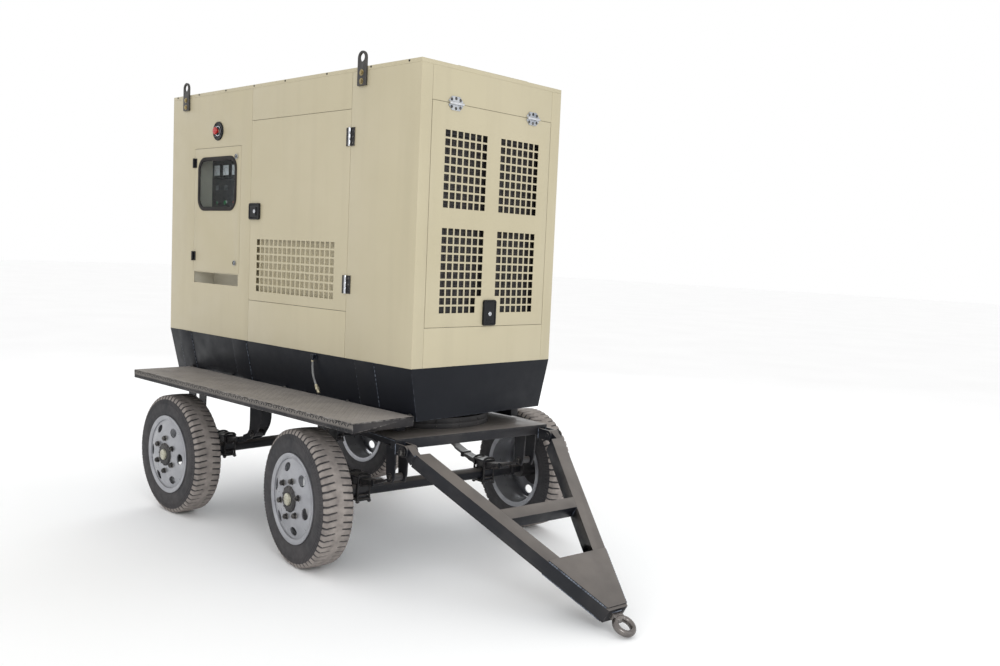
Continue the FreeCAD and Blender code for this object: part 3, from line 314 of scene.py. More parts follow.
# ---------------------------------------------------------------- mesh tools

class Shape:
    """Collects the mesh of one piece, part by part."""

    def __init__(self):
        self.bm = bmesh.new()

    def slab(self, low, high, bevel=0.0015, turn=None):
        """A box with rounded edges, between two corners; turn places it elsewhere."""
        low, high = Vector(low), Vector(high)
        matrix = Matrix.Translation((low + high) / 2) @ Matrix.Diagonal((*(high - low), 1))
        made = bmesh.ops.create_cube(self.bm, size=1, matrix=(turn or Matrix()) @ matrix)
        edges = list({edge for vert in made["verts"] for edge in vert.link_edges})
        width = min(bevel, 0.45 * min(high - low))
        bmesh.ops.bevel(self.bm, geom=edges, offset=width, segments=2, profile=0.6, affect="EDGES")
        return self

    def lathe(self, profile, matrix, sides=40, closed=False):
        """A profile of (radius, height) points turned about the matrix's Z axis."""
        rings = []
        for radius, height in profile:
            if radius < 1e-6:
                rings.append([self.bm.verts.new(matrix @ Vector((0, 0, height)))] * sides)
                continue
            ring = []
            for step in range(sides):
                angle = 2 * math.pi * step / sides
                ring.append(self.bm.verts.new(
                    matrix @ Vector((radius * math.cos(angle), radius * math.sin(angle), height))))
            rings.append(ring)
        for low, high in zip(rings, rings[1:] + (rings[:1] if closed else [])):
            for step in range(sides):
                after = (step + 1) % sides
                corners = [low[step], low[after], high[after], high[step]]
                corners = [v for k, v in enumerate(corners) if v is not corners[k - 1]]
                if len(corners) > 2:
                    self.bm.faces.new(corners)
        return self

    def disc(self, matrix, radius, height, sides=32, chamfer=0.001):
        """A short cylinder with chamfered ends, from the matrix's origin up its Z axis."""
        edge = min(chamfer, 0.3 * height, 0.3 * radius)
        profile = [(0, 0), (radius - edge, 0), (radius, edge), (radius, height - edge),
                   (radius - edge, height), (0, height)]
        return self.lathe(profile, matrix, sides)

    def ring(self, matrix, outer, inner, height, sides=48, chamfer=0.001):
        edge = min(chamfer, 0.3 * height)
        top = height - edge
        profile = [(inner, edge), (inner + edge, 0), (outer - edge, 0), (outer, edge),
                   (outer, top), (outer - edge, height), (inner + edge, height), (inner, top)]
        return self.lathe(profile, matrix, sides, closed=True)

    def nut(self, matrix, across, height, stud=0.0):
        """A chamfered hexagon, with the stud's end standing out of it."""
        outer = across / math.sqrt(3)
        profile = [(0, 0), (outer, 0), (outer, height * 0.82), (outer * 0.86, height), (0, height)]
        self.lathe(profile, matrix, 6)
        if stud:
            self.disc(matrix @ Matrix.Translation((0, 0, height - 0.001)), across * 0.32, stud, 16)
        return self

    def bolt(self, matrix, across, height, washer=0.0016):
        self.disc(matrix, across * 0.95, washer, 24, 0.0004)
        return self.nut(matrix @ Matrix.Translation((0, 0, washer)), across, height)

    def screw(self, matrix, radius, height):
        """A domed head with a driver recess."""
        dome = [(0, 0), (radius, 0), (radius, height * 0.3), (radius * 0.8, height * 0.8),
                (radius * 0.45, height), (radius * 0.4, height * 0.45), (0, height * 0.45)]
        return self.lathe(dome, matrix, 16)

    def tube(self, points, radius, sides=10, caps=True):
        """A round bar along points; radius may be a function of the point's number."""
        points = [Vector(p) for p in points]
        rings = []
        side = None
        for number, point in enumerate(points):
            ahead = points[min(number + 1, len(points) - 1)] - points[max(number - 1, 0)]
            ahead.normalize()
            if side is None:
                side = ahead.orthogonal()
            side = (side - ahead * side.dot(ahead)).normalized()
            other = ahead.cross(side)
            width = radius(number) if callable(radius) else radius
            rings.append([self.bm.verts.new(point + width * (side * math.cos(2 * math.pi * k / sides)
                                                            + other * math.sin(2 * math.pi * k / sides)))
                          for k in range(sides)])
        for low, high in zip(rings, rings[1:]):
            for k in range(sides):
                self.bm.faces.new((low[k], low[(k + 1) % sides], high[(k + 1) % sides], high[k]))
        if caps:
            self.bm.faces.new(list(reversed(rings[0])))
            self.bm.faces.new(rings[-1])
        return self

    def bead(self, start, end, radius=0.003, pitch=0.009, seed=0):
        """A weld bead: an uneven row of ripples between two points."""
        start, end = Vector(start), Vector(end)
        count = max(4, int((end - start).length / pitch) * 2)
        points = [start.lerp(end, step / count) for step in range(count + 1)]
        return self.tube(points, lambda k: radius * (0.75 + 0.25 * (k % 2)
                                                     + 0.35 * noise.noise((seed, k * 0.37, 0))), 6)

    def extrude(self, outline, depth, matrix, bevel=0.0):
        """A flat outline in the matrix's XY plane made thick along its Z axis."""
        base = [self.bm.verts.new(matrix @ Vector((u, v, 0))) for u, v in outline]
        top = [self.bm.verts.new(matrix @ Vector((u, v, depth))) for u, v in outline]
        faces = [self.bm.faces.new(list(reversed(base))), self.bm.faces.new(top)]
        count = len(outline)
        for k in range(count):
            faces.append(self.bm.faces.new((base[k], base[(k + 1) % count], top[(k + 1) % count], top[k])))
        if bevel:
            edges = [edge for edge in {e for f in faces for e in f.edges}
                     if edge.calc_face_angle(0) > math.radians(30)]
            bmesh.ops.bevel(self.bm, geom=edges, offset=bevel, segments=2, profile=0.6, affect="EDGES")
        return self

    def piece(self, name, material, body, replaces=(), slot=None, matrix=None, crease=38):
        """Turns what was collected into a named object that rides on a body."""
        bmesh.ops.recalc_face_normals(self.bm, faces=self.bm.faces)
        mesh = bpy.data.meshes.new(name)
        self.bm.to_mesh(mesh)
        self.bm.free()
        return place_mesh(name, mesh, material, body, replaces, slot, matrix, crease)


SLOT_OF = {"board_dust": "chassis_black", "brass_bolt": "bolt_steel", "forged": "bolt_steel",
           "weld": "chassis_black", "gasket": "belt_rubber", "dial_face": "panel_board",
           "grey_plastic": "panel_board", "chrome": "zinc", "grease_cap": "wheel_silver",
           "fin_metal": "radiator_black"}


def place_mesh(name, mesh, material, body, replaces=(), slot=None, matrix=None, crease=38):
    mesh.shade_smooth()
    mesh.set_sharp_from_angle(angle=math.radians(crease))
    if not mesh.materials:
        mesh.materials.append(FINISHES[material])
    item = bpy.data.objects.new(name, mesh)
    bpy.context.scene.collection.objects.link(item)
    if matrix:
        item.matrix_world = matrix
    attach(item, body)
    if replaces:
        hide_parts(*replaces)
    slot or SLOT_OF.get(material, material)
    return item


def facing(place, normal, twist=0.0):
    """A matrix at a place whose Z axis points along a direction."""
    turn = Vector(normal).to_track_quat("Z", "Y").to_matrix().to_4x4()
    return Matrix.Translation(place) @ turn @ Matrix.Rotation(twist, 4, "Z")


def rounded_outline(left, low, right, high, radius, steps=8):
    """A rectangle with round corners, anticlockwise."""
    points = []
    corners = ((right - radius, high - radius), (left + radius, high - radius),
               (left + radius, low + radius), (right - radius, low + radius))
    for quarter, (u, v) in enumerate(corners):
        for step in range(steps + 1):
            angle = math.pi / 2 * (quarter + step / steps)
            points.append((u + radius * math.cos(angle), v + radius * math.sin(angle)))
    return points


def solids(bm):
    """The separate solids of a mesh: lists of faces with their low and high corners."""
    left = set(bm.faces)
    while left:
        stack = [next(iter(left))]
        left.discard(stack[0])
        faces = []
        while stack:
            face = stack.pop()
            faces.append(face)
            for edge in face.edges:
                for other in edge.link_faces:
                    if other in left:
                        left.discard(other)
                        stack.append(other)
        places = [vert.co for face in faces for vert in face.verts]
        low = Vector(min(p[k] for p in places) for k in range(3))
        high = Vector(max(p[k] for p in places) for k in range(3))
        yield faces, low, high


def welded(node, flat=True):
    """A CAD node's mesh, its triangles joined into flat faces if wanted."""
    bm = bmesh.new()
    bm.from_mesh(NODES[node].data)
    bmesh.ops.remove_doubles(bm, verts=bm.verts, dist=2e-5)
    if flat:
        bmesh.ops.dissolve_limit(bm, angle_limit=math.radians(0.6), verts=bm.verts, edges=bm.edges)
    return bm


def node_solids(node):
    """Low and high corners of each separate solid of a CAD node, in a steady order."""
    bm = welded(node)
    boxes = sorted(((tuple(low), tuple(high)) for _, low, high in solids(bm)))
    bm.free()
    return [(Vector(low), Vector(high)) for low, high in boxes]


def dressed(node, parts, body, bevel=0.0012, shortest=0.0):
    """Stands for a CAD node with its edges rounded, or only its long edges where it is pierced.

    Each part is a name, a material and a test on a solid's low and high corners.
    """
    for name, material, wanted in parts:
        bm = welded(node, not shortest)
        spare = [face for faces, low, high in solids(bm) if not wanted(low, high) for face in faces]
        bmesh.ops.delete(bm, geom=spare, context="FACES")
        sharp = [edge for edge in bm.edges
                 if len(edge.link_faces) == 2 and edge.calc_face_angle(0) > math.radians(35)
                 and edge.calc_length() > shortest]
        bmesh.ops.bevel(bm, geom=sharp, offset=bevel, segments=2, profile=0.6, affect="EDGES",
                        clamp_overlap=True)
        mesh = bpy.data.meshes.new(name)
        bm.to_mesh(mesh)
        bm.free()
        place_mesh(name, mesh, material, body, (node,), crease=10 if shortest else 38)


def everything(low, high):
    return True


# ---------------------------------------------------------------- canopy

def spans(low, high):
    return high - low


def is_hinge(low, high):
    span = spans(low, high)
    return sorted(span)[1] < 0.045 and max(span) < 0.105


def is_leaf(low, high):
    return is_hinge(low, high) and min(spans(low, high)) < 0.0055 and sorted(spans(low, high))[1] > 0.015


def is_knuckle(low, high):
    return is_hinge(low, high) and not is_leaf(low, high)


def is_cup(low, high):
    return 0.05 < sorted(spans(low, high))[1] < 0.12


def is_sheet(low, high):
    return sorted(spans(low, high))[1] > 0.4


def canopy_shell():
    for node in ("right_front_panel", "left_front_panel", "right_rear_panel", "left_rear_panel",
                 "canopy_frame", "roof_panel"):
        dressed(node, [(f"{node}_paint", "canopy", everything)], "chassis", 0.0018)
    dressed("rear_panel", [("rear_wall", "canopy", everything)], "chassis", 0.0006)
    dressed("roof_hatch", [("roof_hatch_lid", "canopy", everything)], "roof_hatch", 0.003)
    dressed("control_cabinet", [("control_cabinet_box", "inner_paint", everything)], "chassis", 0.0006)


def canopy_bolts():
    """Dark domed screws along the roof edge, plated bolts in the lifting lugs."""
    screws, bolts = Shape(), Shape()
    for low, high in node_solids("canopy_fasteners"):
        middle = (low + high) / 2
        out = math.copysign(1, middle.y)
        inner = Vector((middle.x, low.y if out > 0 else high.y, middle.z))
        if spans(low, high).x < 0.014:
            screws.screw(facing(inner, OUT * out), 0.006, 0.003)
        else:
            bolts.bolt(facing(inner, OUT * out), 0.018, 0.0062)
    screws.piece("roof_screws", "bolt_steel", "chassis", ["canopy_fasteners"])
    bolts.piece("lug_bolts", "brass_bolt", "chassis", ["canopy_fasteners"])
    dressed("lifting_lugs", [("lifting_lug_bars", "lug_steel", everything)], "chassis", 0.002)


def leaf_screws(name, leaves, body):
    """Three dark countersunk screws along each hinge leaf."""
    shape = Shape()
    for low, high in leaves:
        span = spans(low, high)
        thin = min(range(3), key=lambda k: span[k])
        long = max(range(3), key=lambda k: span[k])
        middle = (low + high) / 2
        normal = Vector((0, 0, 0))
        normal[thin] = math.copysign(1, middle[thin] if thin == 1 else 1)
        place = middle.copy()
        place[thin] = high[thin] if normal[thin] > 0 else low[thin]
        for share in (-0.34, 0, 0.34):
            spot = place.copy()
            spot[long] += share * span[long]
            shape.screw(facing(spot, normal), 0.0052, 0.0016)
    shape.piece(name, "bolt_steel", body)


def hinges():
    behind = at(-1.5, 0, 0).x
    front = at(0.4, 0, 0).x
    dressed("hinge_leaves", [
        ("fixed_hinge_leaves", "bolt_steel",
         lambda low, high: behind < low.x < front and is_leaf(low, high)),
        ("fixed_hinge_knuckles", "chrome", lambda low, high: low.x > behind and is_knuckle(low, high)),
        ("control_hinge_leaves", "black_plastic", lambda low, high: low.x <= behind),
    ], "chassis", 0.0008)
    leaves = [box for box in node_solids("hinge_leaves") if is_leaf(*box)]
    leaf_screws("fixed_hinge_screws", [box for box in leaves if box[0].x < front], "chassis")
    front_leaves("fixed_front_leaves", [box for box in leaves if box[0].x >= front], "chassis", 1)


def front_leaves(name, leaves, body, up):
    """Bright plates with clipped outer corners and three large dark screws each."""
    plates, screws = Shape(), Shape()
    upright = Matrix((OUT, UP, OUT.cross(UP))).transposed().to_4x4()
    for low, high in leaves:
        middle = (low + high) / 2
        place = Matrix.Translation((low.x, middle.y, middle.z)) @ upright
        half, tall, clip = spans(low, high).y / 2, spans(low, high).z / 2, 0.022
        outline = [(-half, -tall * up), (half, -tall * up), (half, (tall - clip) * up),
                   (half - clip, tall * up), (clip - half, tall * up), (-half, (tall - clip) * up)]
        plates.extrude(outline if up > 0 else outline[::-1], high.x - low.x, place, 0.0008)
        for share, rise in ((-0.62, -0.1), (0, 0.28), (0.62, -0.1)):
            spot = place @ Vector((share * half, rise * tall * up, high.x - low.x))
            screws.screw(facing(spot, (1, 0, 0)), 0.0085, 0.002)
    plates.piece(name, "zinc", body)
    screws.piece(f"{name}_screws", "bolt_steel", body)


def cup_rim(shape, outer, inner, depth, matrix):
    """A rounded frame between two outlines of equal length, with a floor in the opening."""
    bm = shape.bm
    loops = []
    lip = [(u * 0.985, v * 0.985) for u, v in outer]
    steps = ((outer, 0), (outer, depth - 0.002), (lip, depth), (inner, depth), (inner, 0.002))
    for outline, height in steps:
        loops.append([bm.verts.new(matrix @ Vector((u, v, height))) for u, v in outline])
    for low, high in zip(loops, loops[1:]):
        for k in range(len(low)):
            after = (k + 1) % len(low)
            bm.faces.new((low[k], low[after], high[after], high[k]))
    bm.faces.new(list(reversed(loops[0])))
    bm.faces.new(loops[-1])


def door_lock(name, cup_box, paddle_node, door_body, handle_body, key, normal, upright):
    """A moulded lock cup with a paddle, and a chrome key barrel whose keyway is a thin black bar: painted shade of
    the slot.
    """
    low, high = cup_box
    middle = (low + high) / 2
    across = Vector(normal).cross(UP).normalized()
    wide, tall = abs((high - low).dot(across)), (high - low).z
    depth = abs((high - low).dot(Vector(normal)))
    base = middle - Vector(normal) * depth / 2
    matrix = Matrix.Translation(base) @ Matrix((across, UP, across.cross(UP))).transposed().to_4x4()
    if (matrix.to_3x3() @ Vector((0, 0, 1))).dot(Vector(normal)) < 0:
        matrix = Matrix.Translation(base) @ Matrix((-across, UP, (-across).cross(UP))).transposed().to_4x4()
    cup = Shape()
    cup_rim(cup, rounded_outline(-wide / 2, -tall / 2, wide / 2, tall / 2, 0.012),
            rounded_outline(-wide / 2 + 0.009, -tall / 2 + 0.009, wide / 2 - 0.009, tall / 2 - 0.009, 0.008),
            depth, matrix)
    cup.piece(f"{name}_lock_cup", "black_plastic", door_body)
    low, high = node_solids(paddle_node)[0]
    inverse = matrix.inverted()
    corners = [inverse @ low, inverse @ high]
    left, right = sorted(c.x for c in corners)
    bottom, top = sorted(c.y for c in corners)
    back = min(c.z for c in corners)
    paddle = Shape()
    grip = 0.35 * (top - bottom)
    plate = rounded_outline(left, bottom, right, top, 0.006)
    paddle.extrude(plate, 0.005, matrix @ Matrix.Translation((0, 0, back)), 0.0012)
    ridge = Matrix.Translation((0, 0, back + 0.004))
    for step in range(3):
        v = bottom + 0.010 + step * 0.007 if upright else 0
        u = 0 if upright else right - 0.010 - step * 0.007
        size = ((right - left) * 0.34, 0.0016) if upright else (0.0016, grip)
        paddle.slab((u - size[0], v - size[1], 0), (u + size[0], v + size[1], 0.003), 0.0008, matrix @ ridge)
    paddle.piece(f"{name}_lock_paddle", "black_plastic", handle_body, [paddle_node])
    barrel = Shape()
    spot = inverse @ Vector(key)
    socket = matrix @ Matrix.Translation((spot.x, spot.y, back + 0.004))
    barrel.ring(socket, 0.0115, 0.0085, 0.0032, 32, 0.0006)
    barrel.disc(socket, 0.0087, 0.0026, 28, 0.0005)
    barrel.piece(f"{name}_lock_key", "chrome", handle_body)
    # The keyway is no hole but a thin black bar on the barrel's face: painted shade of the slot.
    Shape().slab((-0.0008, -0.005, 0.0022), (0.0008, 0.005, 0.003), 0.0002, socket).piece(
        f"{name}_lock_slot_painted_shade", "black_plastic", handle_body)


def door_seal(side, skin, out, body):
    """A soft rubber strip round the inside of a service door."""
    low, high = skin
    back = (low.y + 0.0285) if out < 0 else (high.y - 0.0285)
    strip = Shape()
    wide = 0.009
    for start, end in (((low.x, low.z), (high.x, low.z + wide)), ((low.x, high.z - wide), (high.x, high.z)),
                       ((low.x, low.z), (low.x + wide, high.z)), ((high.x - wide, low.z), (high.x, high.z))):
        strip.slab((start[0] + 0.004, back - 0.0035, start[1] + 0.004),
                   (end[0] - 0.004 + (0.004 if end[0] < high.x else 0), back, end[1] - 0.002), 0.0015)
    strip.piece(f"{side}_door_seal", "gasket", body)


def service_door(side):
    """Grilled door: skin, folded edges and baffle, rubber seal, hinge halves and a lock."""
    node, body = f"{side}_door", f"{side}_service_door"
    dressed(node, [(f"{side}_door_paint", "canopy", is_sheet)], body, 0.0015, 0.3)
    dressed(node, [
        (f"{side}_door_hinge_leaves", "bolt_steel", is_leaf),
        (f"{side}_door_knuckles", "chrome", is_knuckle),
    ], body, 0.0007)
    boxes = node_solids(node)
    leaf_screws(f"{side}_door_hinge_screws", [box for box in boxes if is_leaf(*box)], body)
    cup = next(box for box in boxes if is_cup(*box) and not is_hinge(*box))
    out = math.copysign(1, cup[0].y)
    skin = max((box for box in boxes if is_sheet(*box)), key=lambda box: spans(*box).x * spans(*box).z)
    door_seal(side, skin, out, body)
    key = ((cup[0] + cup[1]) / 2) + Vector((0.006, 0, 0))
    door_lock(side, cup, f"{side}_door_paddle", body, f"{side}_door_handle", key, OUT * out, False)


def radiator_door():
    dressed("front_door", [
        ("front_door_paint", "canopy", is_sheet),
        ("front_door_knuckles", "chrome", is_knuckle),
    ], "radiator_door", 0.0007)
    boxes = node_solids("front_door")
    front_leaves("moving_front_leaves", [box for box in boxes if is_leaf(*box)], "radiator_door", -1)
    cup = next(box for box in boxes if is_cup(*box) and not is_hinge(*box))
    key = (cup[0] + cup[1]) / 2 - Vector((0, 0, 0.006))
    door_lock("front", cup, "front_door_paddle", "radiator_door", "radiator_door_handle", key,
              Vector((1, 0, 0)), True)


def control_door():
    """Small door with a glazed window in a thick rubber seal, black hinges and two turn locks."""
    dressed("control_door", [
        ("control_door_paint", "canopy", is_sheet),
        ("control_door_hinges", "black_plastic", is_hinge),
    ], "control_door", 0.0008)
    low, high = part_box("control_window")
    face, inset = low.y + 0.006, 0.014
    pane = Shape()
    upright = Matrix.Rotation(math.radians(90), 4, "X")
    outline = rounded_outline(low.x + inset, low.z + inset, high.x - inset, high.z - inset, 0.066, 10)
    pane.extrude(outline, 0.0025, Matrix.Translation((0, high.y - 0.0005, 0)) @ upright, 0.0004)
    pane.piece("control_window_pane", "window_glass", "control_door", ["control_window"])
    rubber = Shape()
    loops = []
    width = 0.026
    for share, lift in ((0.0, 0.0), (0.0, 0.003), (0.12, 0.0055), (0.35, 0.0068), (0.6, 0.0068),
                        (0.85, 0.0045), (1.0, 0.001), (1.0, -0.003)):
        inset = share * width
        outline = rounded_outline(low.x + inset, low.z + inset, high.x - inset, high.z - inset,
                                  0.08 - inset * 0.9, 12)
        loops.append([rubber.bm.verts.new((u, face - lift * 0.88, v)) for u, v in outline])
    for inner, outer in zip(loops, loops[1:]):
        for k in range(len(inner)):
            after = (k + 1) % len(inner)
            rubber.bm.faces.new((inner[k], inner[after], outer[after], outer[k]))
    rubber.piece("control_window_seal", "gasket", "control_door", ["control_window"])
    for name in ("lower_quarter_lock", "upper_quarter_lock"):
        dressed(name, [(f"{name}_body", "zinc", everything)], name, 0.0008)
        low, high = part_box(name)
        pivot = Vector(JOINTS[name.replace("quarter_lock", "lock_turn")]["pos_m"])
        face = Vector((pivot.x, low.y - 0.0004, pivot.z))
        insert_and_slot_shade = Shape().ring(facing(face, -OUT), 0.0125, 0.0095, 0.0016, 28, 0.0004)
        # The black bar across the lock's face is no slot but painted shade of one; the ring round it is a real
        # black insert.
        insert_and_slot_shade.slab((face.x - 0.0085, face.y - 0.0003, face.z - 0.0018),
                    (face.x + 0.0085, face.y + 0.002, face.z + 0.0018), 0.0004)
        insert_and_slot_shade.piece(f"{name}_insert", "black_plastic", name)


def meter(dials, bezels, middle, size):
    """A square panel meter: black bezel, pale dial with a scale, and a needle."""
    half = size / 2
    face = Matrix.Translation(middle) @ Matrix.Rotation(math.radians(90), 4, "X")
    cup_rim(bezels, rounded_outline(-half, -half, half, half, 0.005, 3),
            rounded_outline(-half * 0.84, -half * 0.55, half * 0.84, half * 0.84, 0.003, 3), 0.010, face)
    dials.slab((-half * 0.83, -half * 0.54, 0.002), (half * 0.83, half * 0.83, 0.0045), 0.0003, face)
    pivot = Vector((0, -half * 0.45, 0.0048))
    for step in range(11):
        angle = math.radians(135 - 9 * step)
        tick = Matrix.Translation(pivot) @ Matrix.Rotation(angle, 4, "Z")
        reach = half * 1.02
        bezels.slab((reach - 0.005, -0.0004, 0), (reach, 0.0004, 0.0004), 0.0001, face @ tick)
    needle = Matrix.Translation(pivot) @ Matrix.Rotation(math.radians(130), 4, "Z")
    bezels.slab((0, -0.0006, 0.0004), (half * 0.95, 0.0006, 0.001), 0.0002, face @ needle)


def control_panel():
    """Instrument board: square meters, rotary switches, lamps, a controller and a breaker."""
    boxes = node_solids("control_panel")
    board = max(boxes, key=lambda box: spans(*box).x * spans(*box).z)
    plate = Shape()
    plate.slab(board[0], board[1], 0.001)
    bezels, dials, knobs, lamps, greys, screws = (Shape() for _ in range(6))
    for low, high in boxes:
        span, middle = spans(low, high), (low + high) / 2
        front = Vector((middle.x, board[0].y, middle.z))
        out = facing(front, -OUT)
        if (low, high) == board:
            continue
        if abs(span.x - span.z) < 0.001 and span.x > 0.06:
            meter(dials, bezels, front, span.x)
            for u in (-1, 1):
                for v in (-1, 1):
                    corner = front + Vector((u * span.x * 0.44, -0.0095, v * span.z * 0.44))
                    screws.screw(facing(corner, -OUT), 0.0022, 0.001)
        elif span.y > 0.05:
            plate.slab(low, high, 0.004)
            greys.slab((low.x + 0.02, low.y - 0.004, low.z + 0.02), (high.x - 0.02, low.y, high.z - 0.02),
                       0.003)
            bezels.slab((middle.x - 0.018, low.y - 0.024, middle.z - 0.01),
                        (middle.x + 0.018, low.y - 0.004, middle.z + 0.03), 0.004)
        elif span.x > 0.06:
            bezels.slab(low, high, 0.003)
            greys.slab((low.x + 0.02, low.y - 0.0012, low.z + 0.03), (high.x - 0.075, low.y, high.z - 0.012),
                       0.0005)
            for column in range(3):
                for row in range(2):
                    key = Vector((high.x - 0.055 + 0.018 * column, low.y, low.z + 0.025 + 0.03 * row))
                    greys.disc(facing(key, -OUT), 0.0055, 0.003, 20, 0.001)
        elif span.x > 0.028:
            knobs.ring(out, 0.0165, 0.011, 0.004, 32)
            knobs.disc(out, 0.0125, 0.010, 28)
            knobs.slab((-0.0035, -0.0145, 0.009), (0.0035, 0.0145, 0.0138), 0.001, out)
        else:
            knobs.ring(out, 0.0135, 0.009, 0.003, 28)
            lamps.lathe([(0, 0), (0.009, 0), (0.009, 0.004), (0.0065, 0.0065), (0, 0.007)], out, 24)
    for u in (0.02, 0.98):
        for v in (0.03, 0.5, 0.97):
            place = Vector((board[0].x + u * spans(*board).x, board[0].y, board[0].z + v * spans(*board).z))
            screws.screw(facing(place, -OUT), 0.004, 0.002)
    plate.piece("instrument_board", "panel_board", "chassis", ["control_panel"])
    bezels.piece("meter_bezels", "black_plastic", "chassis")
    dials.piece("meter_dials", "dial_face", "chassis")
    knobs.piece("switch_knobs", "grey_plastic", "chassis")
    lamps.piece("panel_lamps", "green_plastic", "chassis")
    greys.piece("panel_covers", "grey_plastic", "chassis")
    screws.piece("panel_screws", "chrome", "chassis")
    push_buttons(board[0].y)


def push_buttons(face):
    """The start and stop buttons, each in a bright collar on the board's face."""
    for name, colour in (("start_button", "green_plastic"), ("stop_button", "red_plastic")):
        low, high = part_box(name)
        deep = high.y - low.y
        profile = [(0, 0), (0.0125, 0), (0.0125, deep * 0.75), (0.0105, deep * 0.96), (0.006, deep * 0.9),
                   (0, deep * 0.86)]
        middle = Vector(((low.x + high.x) / 2, high.y, (low.z + high.z) / 2))
        Shape().lathe(profile, facing(middle, -OUT), 32).piece(f"{name}_cap", colour, name, [name])
        collar = Shape().ring(facing(Vector((middle.x, face, middle.z)), -OUT), 0.0165, 0.0135, 0.004, 32)
        collar.piece(f"{name}_collar", "chrome", "chassis")


def emergency_stop():
    """A red mushroom button in a dished round housing with a bright collar and four screws."""
    low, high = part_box("estop_housing")
    radius, deep = (high.x - low.x) / 2, high.y - low.y
    middle = Vector(((low.x + high.x) / 2, high.y, (low.z + high.z) / 2))
    out = facing(middle, -OUT)
    dish = [(0.0124, 0.002), (0.034, 0.002), (0.040, deep * 0.5), (radius - 0.012, deep * 0.9),
            (radius - 0.006, deep), (radius - 0.001, deep * 0.7), (radius, 0), (0.0124, 0)]
    bezel = Shape().lathe(dish, out, 64, closed=True)
    bezel.piece("estop_bezel", "black_plastic", "chassis", ["estop_housing"])
    ring = Shape().ring(out @ Matrix.Translation((0, 0, 0.003)), 0.033, 0.0275, 0.005, 48)
    for step in range(4):
        turn = Matrix.Rotation(math.radians(45 + 90 * step), 4, "Z")
        ring.screw(out @ turn @ Matrix.Translation((0.046, 0, deep * 0.55)), 0.004, 0.003)
    ring.piece("estop_collar", "chrome", "chassis")
    low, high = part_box("estop_button")
    tall = high.y - low.y
    base = facing(Vector((middle.x, high.y, middle.z)), -OUT)
    stem = tall - 0.014
    mushroom = [(0, 0), (0.0118, 0), (0.0118, stem * 0.92), (0.020, stem), (0.0238, stem + 0.003),
                (0.0238, stem + 0.007), (0.021, stem + 0.0115), (0.012, tall - 0.0008), (0, tall - 0.0002)]
    head = Shape().lathe(mushroom, base, 48)
    head.piece("estop_mushroom", "red_plastic", "estop_button", ["estop_button"])


def fuel_cap():
    """A ribbed round cap with a grip bar, on a bright neck ring."""
    low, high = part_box("fuel_cap")
    pivot = Vector(JOINTS["fuel_cap_turn"]["pos_m"])
    base = facing(Vector((pivot.x, low.y, pivot.z)), OUT)
    profile = [(0, 0), (0.040, 0), (0.042, 0.004), (0.042, 0.014), (0.038, 0.0195), (0, 0.020)]
    cap = Shape().lathe(profile, base, 60)
    for step in range(30):
        turn = Matrix.Rotation(2 * math.pi * step / 30, 4, "Z")
        cap.slab((0.0405, -0.0016, 0.003), (0.0428, 0.0016, 0.015), 0.0006, base @ turn)
    cap.slab((-0.034, -0.0065, 0.018), (0.034, 0.0065, high.y - low.y - 0.0002), 0.003, base)
    cap.piece("fuel_cap_knob", "black_plastic", "fuel_cap", ["fuel_cap"])
    neck = facing(Vector((pivot.x, low.y - 0.0005, pivot.z)), OUT)
    Shape().ring(neck, 0.05, 0.0435, 0.004, 48).piece("fuel_neck_ring", "zinc", "chassis")


# ---------------------------------------------------------------- base, frame and walkway

SKIRT_LEAN = 0.0615


def base():
    """Tapered skirt with a row of weld beads down both edges of each post, and the steel frame below."""
    dressed("base_frame", [("base_skirt", "base_black", everything)], "chassis", 0.002)
    welds = Shape()
    posts = [box for box in node_solids("base_frame") if 0.16 < spans(*box).x < 0.17 and spans(*box).z > 0.2]
    for number, (low, high) in enumerate(posts):
        out = math.copysign(1, (low.y + high.y) / 2)
        outer = high.y if out > 0 else low.y
        foot = Vector((0, outer - out * SKIRT_LEAN, low.z + 0.006))
        head = Vector((0, outer - out * 0.003, high.z))
        for x in (low.x, high.x):
            for step in range(11):
                start, end = (Vector((x, 0, 0)) + foot.lerp(head, (step + share) / 11.4)
                              for share in (0.2, 0.75))
                welds.bead(start, end, 0.0026, 0.006, number + step)
    welds.piece("base_post_welds", "weld", "chassis")
    dressed("main_frame", [("main_frame_steel", "chassis_black", everything)], "chassis", 0.003)


def lozenge(bm, matrix, length, width, height):
    """One raised bar of chequer plate, pointed at both ends."""
    foot = [(-length, 0), (-length * 0.4, -width), (length * 0.4, -width), (length, 0),
            (length * 0.4, width), (-length * 0.4, width)]
    low = [bm.verts.new(matrix @ Vector((u, v, 0))) for u, v in foot]
    high = [bm.verts.new(matrix @ Vector((u * 0.72, v * 0.55, height))) for u, v in foot]
    bm.faces.new(high)
    for k in range(6):
        bm.faces.new((low[k], low[(k + 1) % 6], high[(k + 1) % 6], high[k]))


def chequer(shape, origin, across, along, columns, rows, pitch):
    """Crossed rows of raised bars on a flat face."""
    normal = across.cross(along).normalized()
    frame_matrix = Matrix((across, along, normal)).transposed().to_4x4()
    for column in range(columns):
        for row in range(rows):
            spot = origin + across * pitch * (column + 0.5) + along * pitch * (row + 0.5)
            turn = Matrix.Rotation(math.radians(45 if (column + row) % 2 else -45), 4, "Z")
            lozenge(shape.bm, Matrix.Translation(spot) @ frame_matrix @ turn, 0.0115, 0.0036, 0.0011)


